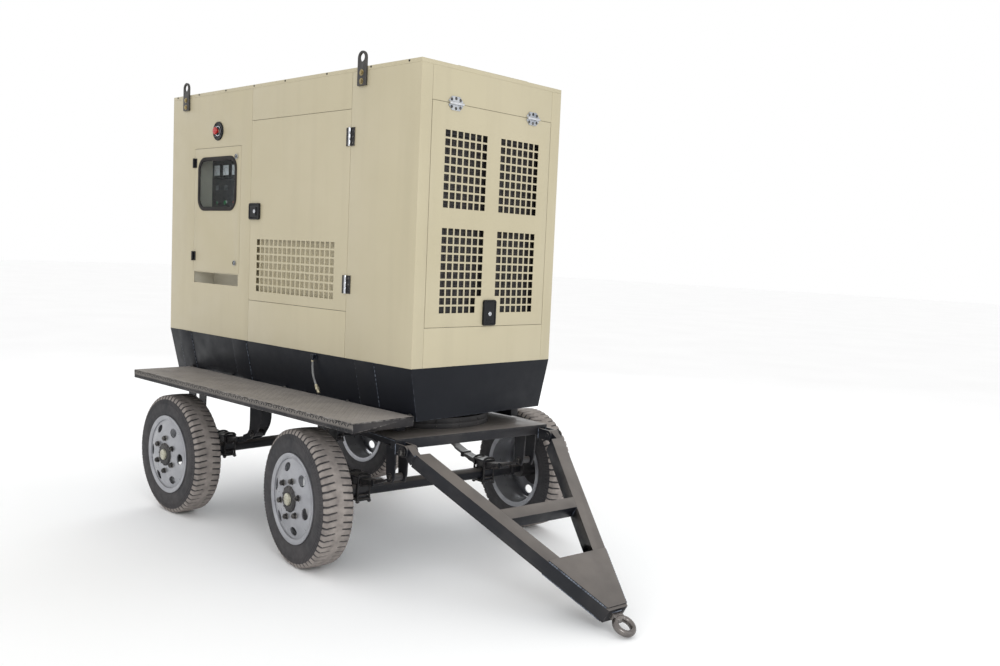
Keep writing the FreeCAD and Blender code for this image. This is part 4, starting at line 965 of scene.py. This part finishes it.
def walkway():
    """Dusty chequer-plate board with folded edges, on bolted brackets."""
    low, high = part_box("running_board")
    dressed("running_board", [("walkway_plate", "board_dust", everything)], "chassis", 0.0015)
    pitch = 0.0242
    east = Vector((1, 0, 0))
    tread = Shape()
    chequer(tread, Vector((low.x, low.y, high.z)), east, OUT, int((high.x - low.x) / pitch),
            int((high.y - low.y) / pitch) - 1, pitch)
    tread.piece("walkway_tread", "board_dust", "chassis")
    edge = Shape()
    chequer(edge, Vector((low.x, low.y, high.z - 0.051)), east, UP, int((high.x - low.x) / pitch), 2, pitch)
    edge.piece("walkway_edge_tread", "chassis_black", "chassis")
    bolts = Shape()
    for x in (high.x - 0.03, high.x - 0.56, high.x - 1.18, high.x - 1.78, low.x + 0.03):
        bolts.bolt(facing(Vector((x, high.y - 0.018, high.z)), UP), 0.015, 0.006)
    bolts.piece("walkway_bolts", "bolt_steel", "chassis")


def turntable():
    """Slewing ring: two flanges with a running gap, and a row of plugs round each rim."""
    for node, body, top in (("upper_ring", "chassis", True), ("lower_ring", "bogie", False)):
        dressed(node, [(f"{node}_flange", "cast_dark", everything)], body, 0.0015)
        low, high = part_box(node)
        bolts = Shape()
        for step in range(16):
            angle = 2 * math.pi * (step + 0.5) / 16
            spot = Vector((TURNTABLE.x + 0.3605 * math.cos(angle), 0.3605 * math.sin(angle),
                           (low.z + high.z) / 2 + (0.008 if top else 0)))
            bolts.screw(facing(spot, (math.cos(angle), math.sin(angle), 0)), 0.005, 0.003)
        bolts.piece(f"{node}_plugs", "bolt_steel", body)


# ---------------------------------------------------------------- bogie and drawbar

def bogie_matrix():
    axis = JOINTS["front_left_wheel_spin"]["axis"]
    turn = math.atan2(-axis[0], axis[1])
    return Matrix.Translation((TURNTABLE.x, TURNTABLE.y, 0)) @ Matrix.Rotation(turn, 4, "Z")


def drawbar_matrix():
    """The drawbar's own frame: X from its pins to the tow eye, Y to the left."""
    pin = Vector(JOINTS["drawbar_lift"]["pos_m"])
    eye = next(mount for mount in frame["record"]["mounts"] if mount["name"] == "tow_eye_bore")
    along = (Vector(eye["pos_m"]) - pin).normalized()
    left = -Vector(JOINTS["drawbar_lift"]["axis"])
    return Matrix.Translation(pin) @ Matrix((along, left, along.cross(left))).transposed().to_4x4()


BOGIE = bogie_matrix()
DRAWBAR = drawbar_matrix()


def bogie():
    """Steered sub-frame with welded ears, drawbar pins, washers and split pins."""
    dressed("bogie_frame", [("bogie_steel", "chassis_black", everything)], "bogie", 0.0025)
    pin = BOGIE.inverted() @ Vector(JOINTS["drawbar_lift"]["pos_m"])
    top = 0.752
    pins, welds = Shape(), Shape()
    for y, out in ((0.536, 1), (-0.536, -1)):
        pins.bolt(BOGIE @ facing((pin.x, y, pin.z), (0, out, 0)), 0.030, 0.014)
        pins.tube([BOGIE @ Vector((pin.x - 0.03, y + out * 0.012, pin.z - 0.006)),
                   BOGIE @ Vector((pin.x, y + out * 0.012, pin.z)),
                   BOGIE @ Vector((pin.x + 0.025, y + out * 0.013, pin.z - 0.012))], 0.002, 8)
    for number, y in enumerate((0.455, 0.467, 0.513, 0.525, -0.455, -0.467, -0.513, -0.525)):
        welds.bead(BOGIE @ Vector((0.482, y, 0.676)), BOGIE @ Vector((0.482, y, 0.732)), 0.0032, 0.009,
                   number)
    for y in (-0.5195, 0.5195):
        welds.bead(BOGIE @ Vector((-0.47, y, top - 0.009)), BOGIE @ Vector((0.47, y, top - 0.009)),
                   0.0022, 0.011, 3)
    pins.piece("drawbar_pins", "bolt_steel", "bogie")
    welds.piece("bogie_welds", "weld", "bogie")


def drawbar():
    """A-frame of box legs with ground welds along its gussets, and a forged tow eye."""
    dressed("drawbar_frame", [("drawbar_steel", "chassis_black", everything)], "drawbar", 0.004)
    welds = Shape()
    for side in (1, -1):
        for height in (0.0405, -0.0425):
            for step in range(24):
                u = 0.872 + 0.0132 * step
                spot = [Vector((r, side * (0.5285 - 0.469 * r / 1.204), height)) for r in (u, u + 0.010)]
                welds.bead(DRAWBAR @ spot[0], DRAWBAR @ spot[1], 0.0040, 0.004, step + side)
        for u in (0.508, 0.577):
            edge = 0.530 - 0.469 * u / 1.204 - 0.085
            welds.bead(DRAWBAR @ Vector((u, side * edge, -0.028)), DRAWBAR @ Vector((u, side * edge, 0.036)),
                       0.003, 0.009, 9)
        inner, outer = (DRAWBAR @ Vector((0.07, side * y, 0.031)) for y in (0.470, 0.51))
        welds.bead(inner, outer, 0.0035, 0.009, 12)
    for u, half, height, radius, pitch, seed in ((0.864, 0.10, 0.0395, 0.003, 0.01, 21),
                                                 (1.204, 0.03, 0.019, 0.004, 0.009, 22)):
        right, left = (DRAWBAR @ Vector((u, y, height)) for y in (-half, half))
        welds.bead(right, left, radius, pitch, seed)
    welds.piece("drawbar_welds", "weld", "drawbar")
    eye = Shape()
    reach = 1.275
    section = [(0.0445 + 0.0152 * math.cos(a) * (1 if math.cos(a) > 0 else 0.96), 0.0172 * math.sin(a))
               for a in (2 * math.pi * k / 20 for k in range(20))]
    eye.lathe(section, DRAWBAR @ Matrix.Translation((reach, 0, 0)), 64, closed=True)
    shank = [(1.204, -0.028), (1.232, -0.027), (1.246, -0.020), (1.246, 0.020), (1.232, 0.027),
             (1.204, 0.028)]
    eye.extrude(shank, 0.032, DRAWBAR @ Matrix.Translation((0, 0, -0.016)), 0.005)
    eye.piece("tow_eye_forging", "forged", "drawbar", ["tow_eye"])


# ---------------------------------------------------------------- axles, springs and wheels

SPRING_HALF, CAMBER, LEAF, SEAT_UP = 0.380, 0.080, 0.007, 0.450
ARC = (SPRING_HALF ** 2 + CAMBER ** 2) / (2 * CAMBER)
SPRING_WIDE, SPRING_Y, AXLE_UP = 0.060, 0.445, 0.375


def leaf(shape, half, number, y, matrix):
    """One curved spring leaf with a tapered, narrowed tip."""
    steps = 26
    rows = []
    for step in range(steps + 1):
        x = -half + 2 * half * step / steps
        tip = min(1.0, (half - abs(x)) / 0.03)
        thick = (LEAF - 0.0009) * (0.55 + 0.45 * tip) if number else LEAF - 0.0009
        wide = SPRING_WIDE / 2 * (0.72 + 0.28 * tip) if number else SPRING_WIDE / 2
        radius = ARC + number * LEAF
        top = SEAT_UP + ARC - math.sqrt(radius ** 2 - x ** 2)
        lean = x / radius
        rows.append([shape.bm.verts.new(matrix @ Vector((x + depth * lean, y + side * wide, top - depth)))
                     for side, depth in ((-1, 0.0), (1, 0.0), (1, thick), (-1, thick))])
    for low, high in zip(rows, rows[1:]):
        for k in range(4):
            shape.bm.faces.new((low[k], low[(k + 1) % 4], high[(k + 1) % 4], high[k]))
    shape.bm.faces.new(rows[0])
    shape.bm.faces.new(list(reversed(rows[-1])))


def u_bolt(shape, x, y, matrix):
    """A round clamp bolt bent over the spring, with nuts under the plate."""
    half, top, low = SPRING_WIDE / 2 + 0.007, 0.470, 0.312
    points = [(x, y - half, low), (x, y - half, top - 0.01)]
    points += [(x, y + half * math.cos(a), top - 0.01 + 0.014 * math.sin(a))
               for a in (math.pi * (1 - k / 10) for k in range(11))]
    points += [(x, y + half, low)]
    shape.tube([matrix @ Vector(p) for p in points], 0.0065, 12)
    for side in (-1, 1):
        shape.nut(matrix @ facing((x, y + side * half, 0.324), (0, 0, -1)), 0.020, 0.011, 0.004)


def cranked_hanger(shape, y, matrix, top):
    """Two curved cheeks round the spring's front eye, with a thick web between them above it."""
    cheek = [(0.476, top), (0.476, 0.640), (0.470, 0.612), (0.460, 0.588), (0.446, 0.566), (0.430, 0.547),
             (0.400, 0.514), (0.360, 0.492), (0.300, 0.474), (0.270, 0.466), (0.270, 0.502), (0.318, 0.520),
             (0.340, 0.548), (0.345, 0.600), (0.345, top)]
    upright = Matrix.Rotation(math.radians(90), 4, "X")
    for out in (y - 0.031, y + 0.038):
        shape.extrude(cheek[::-1], 0.007, matrix @ Matrix.Translation((0, out, 0)) @ upright, 0.0015)
    web = [(0.476, top), (0.476, 0.640), (0.466, 0.606), (0.450, 0.578), (0.345, 0.572), (0.345, top)]
    inset = [(u - 0.002 if u > 0.4 else u + 0.002, v) for u, v in web]
    shape.extrude(inset[::-1], 0.062, matrix @ Matrix.Translation((0, y + 0.031, 0)) @ upright, 0.004)


def springs(node, body, matrix, top, cranked):
    """Leaf packs with hangers, seats, clamp plates, U-bolts and rebound clips."""
    packs, irons, bolts = Shape(), Shape(), Shape()
    for y in (SPRING_Y, -SPRING_Y):
        for number, half in enumerate((SPRING_HALF - 0.012, 0.300, 0.220, 0.150, 0.090)):
            leaf(packs, half, number, y, matrix)
        for end in (-1, 1):
            eye = matrix @ Matrix.Translation((end * SPRING_HALF, y - SPRING_WIDE / 2, 0.528)) \
                @ Matrix.Rotation(math.radians(-90), 4, "X")
            packs.ring(eye, 0.020, 0.0115, SPRING_WIDE, 32, 0.002)
            if cranked and end > 0:
                cranked_hanger(irons, y, matrix, top)
            else:
                for side in (-1, 1):
                    plate = [(-0.024, 0), (0.024, 0), (0.040, 0.04), (0.050, top - 0.5), (-0.050, top - 0.5),
                             (-0.040, 0.04)]
                    shift = (end * SPRING_HALF, y + side * 0.0385 + 0.0035, 0.500)
                    irons.extrude(plate, 0.007, matrix @ Matrix.Translation(shift)
                                  @ Matrix.Rotation(math.radians(90), 4, "X"), 0.0015)
            for side in (-1, 1):
                reach = 0.0425 if cranked and end > 0 else 0.042
                spot = (end * SPRING_HALF, y + side * reach, 0.528)
                bolts.bolt(matrix @ facing(spot, (0, side, 0)), 0.024, 0.010)
            clip = end * 0.19
            rise = SEAT_UP + ARC - math.sqrt(ARC ** 2 - clip ** 2)
            irons.slab((clip - 0.012, y - 0.0335, rise - 0.030), (clip + 0.012, y + 0.0335, rise + 0.004),
                       0.002, matrix)
            u_bolt(bolts, end * 0.048, y, matrix)
        irons.slab((-0.040, y - 0.030, 0.402), (0.040, y + 0.030, 0.4145), 0.002, matrix)
        irons.slab((-0.052, y - 0.034, 0.372), (0.052, y + 0.034, 0.404), 0.004, matrix)
        for low, high in ((0.324, 0.334), (0.454, 0.464)):
            plate = rounded_outline(-0.062, y - 0.046, 0.062, y + 0.046, 0.016, 5)
            irons.extrude(plate, high - low, matrix @ Matrix.Translation((0, 0, low)), 0.002)
        irons.slab((-0.045, y - 0.034, 0.334), (0.045, y + 0.034, 0.352), 0.008, matrix)
    packs.piece(f"{node}_leaves", "spring_steel", body, [node])
    irons.piece(f"{node}_irons", "chassis_black", body)
    bolts.piece(f"{node}_bolts", "bolt_steel", body)


def axle(node, body, matrix):
    """A thick tube with a collar and a stub axle at each end."""
    tube = Shape()
    profile = [(0.0, -0.64), (0.033, -0.64), (0.035, -0.636), (0.035, 0.636), (0.033, 0.64), (0, 0.64)]
    across = matrix @ Matrix.Translation((0, 0, AXLE_UP)) @ Matrix.Rotation(math.radians(-90), 4, "X")
    tube.lathe(profile, across, 40)
    for side in (-1, 1):
        collar = across @ Matrix.Translation((0, 0, side * 0.64 - (0.03 if side < 0 else 0)))
        tube.ring(collar, 0.041, 0.0345, 0.03, 40, 0.003)
        outward = Matrix.Rotation(0 if side > 0 else math.pi, 4, "X")
        stub = across @ Matrix.Translation((0, 0, side * 0.64)) @ outward
        tube.lathe([(0, 0), (0.0298, 0), (0.0298, 0.212), (0.027, 0.215), (0, 0.215)], stub, 32)
    tube.piece(f"{node}_tube", "chassis_black", body, [node])


PITCHES, RIB_STEPS = 60, 12
TYRE_OUT, TYRE_HALF, FLANGE, BEAD, WELL = 0.375, 0.0925, 0.245, 0.222, 0.205


def tread_depth(angle, across):
    """0 on a block's face to 1 in a groove: two staggered rows of wavy cross grooves."""
    side = 1 if across > 0 else -1
    share = abs(across)
    phase = angle * PITCHES / (2 * math.pi) + (0.5 if side > 0 else 0.0)
    wave = phase + 0.12 * math.cos(share * 2.4)
    near = abs((wave % 1.0) - 0.5) * 2
    groove = max(0.0, min(1.0, (near - 0.80 + 0.14 * share) / 0.13))
    fade = max(0.0, min(1.0, (share - 0.20) / 0.12))
    return groove * fade


def tyre_mesh():
    """A worn lug tyre: buttressed shoulders, ribbed sidewalls and a cut tread."""
    bm = bmesh.new()
    crown = bm.verts.layers.float.new("crown")
    segments = PITCHES * RIB_STEPS
    half_tread = 0.072
    wall = [(BEAD + 0.001, 0.058, 0), (BEAD + 0.001, 0.0845, 0), (FLANGE + 0.003, 0.0858, 0),
            (FLANGE + 0.010, 0.0885, 0), (FLANGE + 0.013, 0.0875, 0), (FLANGE + 0.028, 0.0912, 0),
            (FLANGE + 0.046, TYRE_HALF - 0.0003, 0), (FLANGE + 0.052, TYRE_HALF - 0.0012, 0),
            (FLANGE + 0.072, TYRE_HALF - 0.0006, 0), (FLANGE + 0.0735, TYRE_HALF - 0.0006, 0.05),
            (FLANGE + 0.094, 0.0900, 0.1), (FLANGE + 0.102, 0.0885, 0.2)]
    tread = [0.0865, 0.083, 0.078, 0.072, 0.062, 0.052, 0.042, 0.032, 0.023, 0.015, 0.010, 0.005, 0.0]
    rows = [(radius, y, mark, None) for radius, y, mark in wall]
    for y in tread:
        crown_drop = 0.5 * (y / half_tread) ** 2 * 0.006
        shoulder = 0.022 * max(0.0, (y - half_tread) / (0.0865 - half_tread)) ** 1.6
        rows.append((TYRE_OUT - 0.0003 - crown_drop - shoulder, y, 1.0, y / half_tread))
    full = rows + [(r, -y, m, None if a is None else -a) for r, y, m, a in reversed(rows[:-1])]
    loops = []
    for radius, y, mark, across in full:
        loop = []
        for step in range(segments):
            angle = 2 * math.pi * step / segments
            depth = 0.0
            if across is not None:
                depth = tread_depth(angle, across)
                if abs(across) < 0.02:
                    depth = 0
            reach = radius - 0.0085 * depth
            rib = 0.0022 if across is None and mark and (step // 3) % 2 else 0.0
            place = (reach * math.cos(angle), y - math.copysign(rib, y), reach * math.sin(angle))
            vert = bm.verts.new(place)
            vert[crown] = mark * (1 - 0.95 * depth)
            loop.append(vert)
        loops.append(loop)
    for low, high in zip(loops, loops[1:]):
        for k in range(segments):
            after = (k + 1) % segments
            bm.faces.new((low[k], low[after], high[after], high[k]))
    bmesh.ops.recalc_face_normals(bm, faces=bm.faces)
    mesh = bpy.data.meshes.new("tyre")
    bm.to_mesh(mesh)
    bm.free()
    mesh.materials.append(FINISHES["tyre"])
    return mesh


def rim_profile():
    """Rim section, outboard side up: flanges, bead seats, drop centre."""
    return [(FLANGE, 0.0918), (FLANGE - 0.0035, 0.0930), (FLANGE - 0.010, 0.0915), (FLANGE - 0.021, 0.0905),
            (BEAD - 0.0045, 0.0870), (BEAD - 0.006, 0.080), (BEAD - 0.0065, 0.060), (WELL - 0.004, 0.046),
            (WELL - 0.006, 0.030), (WELL - 0.006, -0.024),
            (BEAD - 0.006, -0.058), (BEAD - 0.006, -0.088), (FLANGE - 0.008, -0.0925), (FLANGE, -0.0915),
            (FLANGE, -0.0862), (BEAD, -0.085), (BEAD, -0.056), (WELL, -0.020), (WELL, 0.040), (BEAD, 0.056),
            (BEAD, 0.085), (FLANGE, 0.0862)]


VENTS, VENT_CIRCLE, VENT_U, VENT_V = 6, 0.172, 0.034, 0.024
DISC_SIDES, DISC_THICK = 144, 0.006
DISC_RADII = [0.072, 0.085, 0.098, 0.111, 0.124, 0.132, 0.140, 0.146, 0.152, 0.158, 0.164, 0.172, 0.180,
              0.186, 0.192, 0.198, 0.205, 0.211, 0.2165]
DISC_FACE = [(0.0720, 0.1030), (0.124, 0.1031), (0.142, 0.1028), (0.158, 0.1010), (0.174, 0.0978),
             (0.190, 0.0930), (0.203, 0.0880), (0.211, 0.0845), (0.2165, 0.0825)]


def disc_height(radius):
    """How far out the disc's face stands at a radius."""
    for (r0, h0), (r1, h1) in zip(DISC_FACE, DISC_FACE[1:]):
        if r0 <= radius <= r1:
            return h0 + (h1 - h0) * (radius - r0) / (r1 - r0)
    return DISC_FACE[-1][1]


def disc_grid(bm, lie, drop):
    """One face of the disc: each vertex by ring and step, with its distance in vent sizes from a vent."""
    grid = {}
    for row, radius in enumerate(DISC_RADII):
        for step in range(DISC_SIDES):
            angle = 2 * math.pi * step / DISC_SIDES
            nearest = (round(angle / (2 * math.pi / VENTS) - 0.5) + 0.5) * 2 * math.pi / VENTS
            u, v = (angle - nearest) * VENT_CIRCLE, radius - VENT_CIRCLE
            flare = math.hypot(u / (VENT_U * 1.25), v / (VENT_V * 1.35))
            lift = disc_height(radius) - drop - 0.0025 * max(0.0, 1.3 - flare)
            inside = math.hypot(u / VENT_U, v / VENT_V)
            ease = 1 / inside if 0.72 < inside < 1.28 else 1
            reach, turn = VENT_CIRCLE + v * ease, nearest + u * ease / VENT_CIRCLE
            point = Vector((reach * math.cos(turn), reach * math.sin(turn), lift))
            grid[row, step] = (bm.verts.new(lie @ point), inside)
    return grid


def rim_mesh():
    """Dished disc with six oval vents, in a drop-centre rim."""
    shape = Shape()
    lie = Matrix.Rotation(math.radians(-90), 4, "X")
    shape.lathe(rim_profile(), lie, 96, closed=True)
    front, back = (disc_grid(shape.bm, lie, drop) for drop in (0.0, DISC_THICK))
    cells = {}
    for row in range(len(DISC_RADII) - 1):
        for step in range(DISC_SIDES):
            after = (step + 1) % DISC_SIDES
            cells[row, step] = ((row, step), (row, after), (row + 1, after), (row + 1, step))
    opened = {cell for cell, ring in cells.items() if sum(front[key][1] for key in ring) / 4 < 0.86}
    for (row, step), ring in cells.items():
        if (row, step) in opened:
            continue
        for grid in (front, back):
            shape.bm.faces.new([grid[key][0] for key in ring])
        a, b, c, d = ring
        for d_row, d_step, start, end in ((-1, 0, a, b), (1, 0, d, c), (0, -1, a, d), (0, 1, b, c)):
            if (row + d_row, (step + d_step) % DISC_SIDES) in opened:
                shape.bm.faces.new((front[start][0], front[end][0], back[end][0], back[start][0]))
    return finished(shape, "rim", "wheel_silver")


def finished(shape, name, material):
    bmesh.ops.recalc_face_normals(shape.bm, faces=shape.bm.faces)
    mesh = bpy.data.meshes.new(name)
    shape.bm.to_mesh(mesh)
    shape.bm.free()
    mesh.materials.append(FINISHES[material])
    return mesh


def hub_mesh():
    """Dark hub flange and barrel with a ridged collar round the grease cap."""
    lie = Matrix.Rotation(math.radians(-90), 4, "X")
    shape = Shape()
    profile = [(0.031, -0.05), (0.058, -0.05), (0.060, -0.046), (0.060, 0.083), (0.122, 0.085),
               (0.125, 0.088), (0.125, 0.0960), (0.071, 0.0965), (0.0712, 0.1060), (0.068, 0.1090),
               (0.062, 0.1095), (0.058, 0.1125), (0.040, 0.1130), (0.034, 0.1110), (0.031, 0.108),
               (0.031, 0.09)]
    shape.lathe(profile, lie, 64, closed=True)
    for step in range(12):
        turn = Matrix.Rotation(2 * math.pi * step / 12, 4, "Z")
        shape.slab((0.059, -0.005, 0.104), (0.0708, 0.005, 0.1115), 0.002, lie @ turn)
    return finished(shape, "hub", "cast_dark")


def cap_mesh():
    lie = Matrix.Rotation(math.radians(-90), 4, "X")
    dome = [(0.0, 0.095), (0.0325, 0.095), (0.0325, 0.106), (0.0345, 0.1125), (0.0335, 0.1150),
            (0.0330, 0.1195), (0.0300, 0.1225), (0.022, 0.1240), (0.012, 0.1248), (0, 0.1250)]
    return finished(Shape().lathe(dome, lie, 40), "grease_cap", "grease_cap")


def nut_mesh():
    """Six wheel nuts on conical seats, with stud ends."""
    shape = Shape()
    for step in range(6):
        angle = 2 * math.pi * step / 6
        spot = (0.104 * math.cos(angle), 0.1028, 0.104 * math.sin(angle))
        seat = facing(spot, OUT, angle)
        shape.lathe([(0, 0), (0.019, 0), (0.016, 0.003), (0, 0.003)], seat, 28)
        shape.nut(seat @ Matrix.Translation((0, 0, 0.002)), 0.028, 0.0155, 0.005)
    return finished(shape, "wheel_nuts", "bolt_steel")


def rear_axle_place():
    pivot = Vector(JOINTS["rear_left_wheel_spin"]["pos_m"])
    return Matrix.Translation((pivot.x, 0, 0))


def wheels():
    """Four wheels of five pieces each; the two axles' wheels stopped at different turns of their spin."""
    meshes = {"tyre": (tyre_mesh(), "tyre", 50), "rim": (rim_mesh(), "wheel_silver", 35),
              "hub": (hub_mesh(), "cast_dark", 35), "cap": (cap_mesh(), "grease_cap", 35),
              "nuts": (nut_mesh(), "bolt_steel", 35)}
    for end, stopped in (("front", 15), ("rear", 29)):
        spun = {part: (mesh.copy(), material, crease) for part, (mesh, material, crease) in meshes.items()}
        for mesh, _, _ in spun.values():
            mesh.transform(Matrix.Rotation(math.radians(stopped), 4, "Y"))
        for side, out in (("left", 1), ("right", -1)):
            body = f"{end}_{side}_wheel"
            joint = JOINTS[f"{body}_spin"]
            axis = Vector(joint["axis"]) * out
            turn = Matrix((axis.cross(UP), axis, UP)).transposed().to_4x4()
            place = Matrix.Translation(joint["pos_m"]) @ turn
            for part, (mesh, material, crease) in spun.items():
                node = f"{body[:-6]}_tyre" if part == "tyre" else body
                place_mesh(f"{body}_{part}", mesh, material, body, [node], None, place, crease)


# ---------------------------------------------------------------- drain hose

HOSE_ROUTE = [(-0.385, -0.548, 1.079), (-0.385, -0.548, 1.043), (-0.377, -0.550, 1.006),
              (-0.359, -0.553, 0.972), (-0.334, -0.555, 0.940)]
HOSE_LENGTH, HOSE_THICK = 0.153, 0.0125


def drain_hose():
    """Grey drain hose hanging from its gland, ending in a brass fitting."""
    points = [at(*p) for p in HOSE_ROUTE]
    curve = bpy.data.curves.new("drain_hose_line", "CURVE")
    curve.dimensions = "3D"
    spline = curve.splines.new("NURBS")
    spline.points.add(len(points) - 1)
    for slot, point in zip(spline.points, points):
        slot.co = (*point, 1)
    spline.order_u = 3
    spline.use_endpoint_u = True
    curve.bevel_depth = HOSE_THICK / 2
    curve.bevel_resolution = 6
    curve.resolution_u = 24
    curve.use_fill_caps = True
    curve.materials.append(FINISHES["hose_rubber"])
    hose = bpy.data.objects.new("drain_hose_tube", curve)
    bpy.context.scene.collection.objects.link(hose)
    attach(hose, "chassis")
    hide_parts("drain_hose")
    heading = points[-1] - points[-2]
    tip = facing(points[-1], heading)
    fitting = Shape()
    ferrule = [(0, -0.004), (0.0085, -0.004), (0.010, 0), (0.010, 0.004), (0.0092, 0.005), (0.010, 0.006),
               (0.010, 0.010), (0.0092, 0.011), (0.010, 0.012), (0.010, 0.0155), (0, 0.016)]
    fitting.lathe(ferrule, tip, 28)
    fitting.nut(tip @ Matrix.Translation((0, 0, 0.016)), 0.0215, 0.014)
    spout = [(0.0055, 0.030), (0.009, 0.030), (0.009, 0.048), (0.0083, 0.0498), (0.0055, 0.0498)]
    fitting.lathe(spout, tip, 28, closed=True)
    end = fitting.piece("drain_hose_end", "brass", "chassis", ["hose_fitting"])
    gland = Shape()
    gland.lathe([(0.0064, -0.010), (0.0075, -0.010), (0.0085, -0.002), (0.0088, 0.001), (0.0064, 0.001)],
                facing(points[0], UP), 28, closed=True)
    gland.piece("drain_hose_gland", "brass", "chassis")
    tuple(points[0])


# ---------------------------------------------------------------- engine bay

def engine():
    """Block, head, generator and their details; all of it seen only with the doors open."""
    solid_nodes = (("engine_block", "engine_paint", 0.006), ("cylinder_head", "engine_paint", 0.005),
                   ("alternator", "alternator_paint", 0.004), ("engine_skid", "chassis_black", 0.003),
                   ("exhaust_silencer", "exhaust_steel", 0.004), ("battery", "battery_case", 0.004),
                   ("fan_belt", "belt_rubber", 0.001))
    for node, material, bevel in solid_nodes:
        dressed(node, [(f"{node}_body", material, everything)], "chassis", bevel)
    dressed("radiator", [("radiator_tanks", "radiator_black", everything)], "chassis", 0.003)
    dressed("cooling_fan", [("cooling_fan_blades", "fan_paint", everything)], "cooling_fan", 0.0015)
    dressed("crank_pulley", [("crank_pulley_wheel", "cast_dark", everything)], "crank_pulley", 0.0015)
    bolts = Shape()
    for step in range(9):
        x = at(-0.40 + 0.072 * step, 0, 0).x
        for y, out in ((-0.17, -1), (0.17, 1)):
            bolts.bolt(facing((x, y, 1.675), (0, out, 0)), 0.014, 0.008)
            bolts.bolt(facing((x, y, 1.355), (0, out, 0)), 0.014, 0.008)
    bolts.piece("engine_bolts", "bolt_steel", "chassis")
    ribs = Shape()
    for step in range(5):
        x = at(-0.34 + 0.12 * step, 0, 0).x
        for y in (-0.178, 0.170):
            ribs.slab((x - 0.006, y, 1.39), (x + 0.006, y + 0.008, 1.64), 0.003)
    ribs.piece("engine_ribs", "engine_paint", "chassis")
    frame_fins = Shape()
    axis = Matrix.Translation(at(-1.06, 0, 1.45)) @ Matrix.Rotation(math.radians(90), 4, "Y")
    for step in range(36):
        turn = Matrix.Rotation(2 * math.pi * step / 36, 4, "Z")
        frame_fins.slab((0.233, -0.003, 0.03), (0.247, 0.003, 0.56), 0.0015, axis @ turn)
    frame_fins.piece("alternator_fins", "alternator_paint", "chassis")
    radiator_fins(*core_box())
    caps = Shape()
    low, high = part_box("battery")
    for column in range(6):
        spot = Vector((low.x + (high.x - low.x) * (column + 0.5) / 6, (low.y + high.y) / 2, high.z))
        caps.disc(facing(spot, UP), 0.014, 0.006, 24, 0.002)
    caps.piece("battery_caps", "red_plastic", "chassis")


def core_box():
    boxes = node_solids("radiator")
    return max(boxes, key=lambda box: spans(*box).y * spans(*box).z)


def radiator_fins(low, high):
    """Thin cooling fins and flat tubes across the core's rear and front faces."""
    fins = Shape()
    face = max(low.x, high.x)
    count = 44
    for step in range(count):
        z = low.z + (high.z - low.z) * (step + 0.5) / count
        fins.slab((face - 0.001, low.y + 0.012, z - 0.0016), (face + 0.0022, high.y - 0.012, z + 0.0016),
                  0.0006)
    for step in range(28):
        y = low.y + (high.y - low.y) * (step + 0.5) / 28
        fins.slab((face - 0.001, y - 0.002, low.z + 0.01), (face + 0.0032, y + 0.002, high.z - 0.01), 0.0008)
    fins.piece("radiator_fins", "fin_metal", "chassis")


# ---------------------------------------------------------------- build it all

add_camera()
add_studio()
drain_hose()
canopy_shell()
canopy_bolts()
hinges()
for hand in ("right", "left"):
    service_door(hand)
radiator_door()
control_door()
control_panel()
emergency_stop()
fuel_cap()
base()
walkway()
turntable()
bogie()
drawbar()
springs("rear_leaf_springs", "chassis", rear_axle_place(), 0.765, True)
springs("front_leaf_springs", "bogie", BOGIE, 0.697, False)
axle("rear_axle", "chassis", rear_axle_place())
axle("front_axle", "bogie", BOGIE)
wheels()
engine()
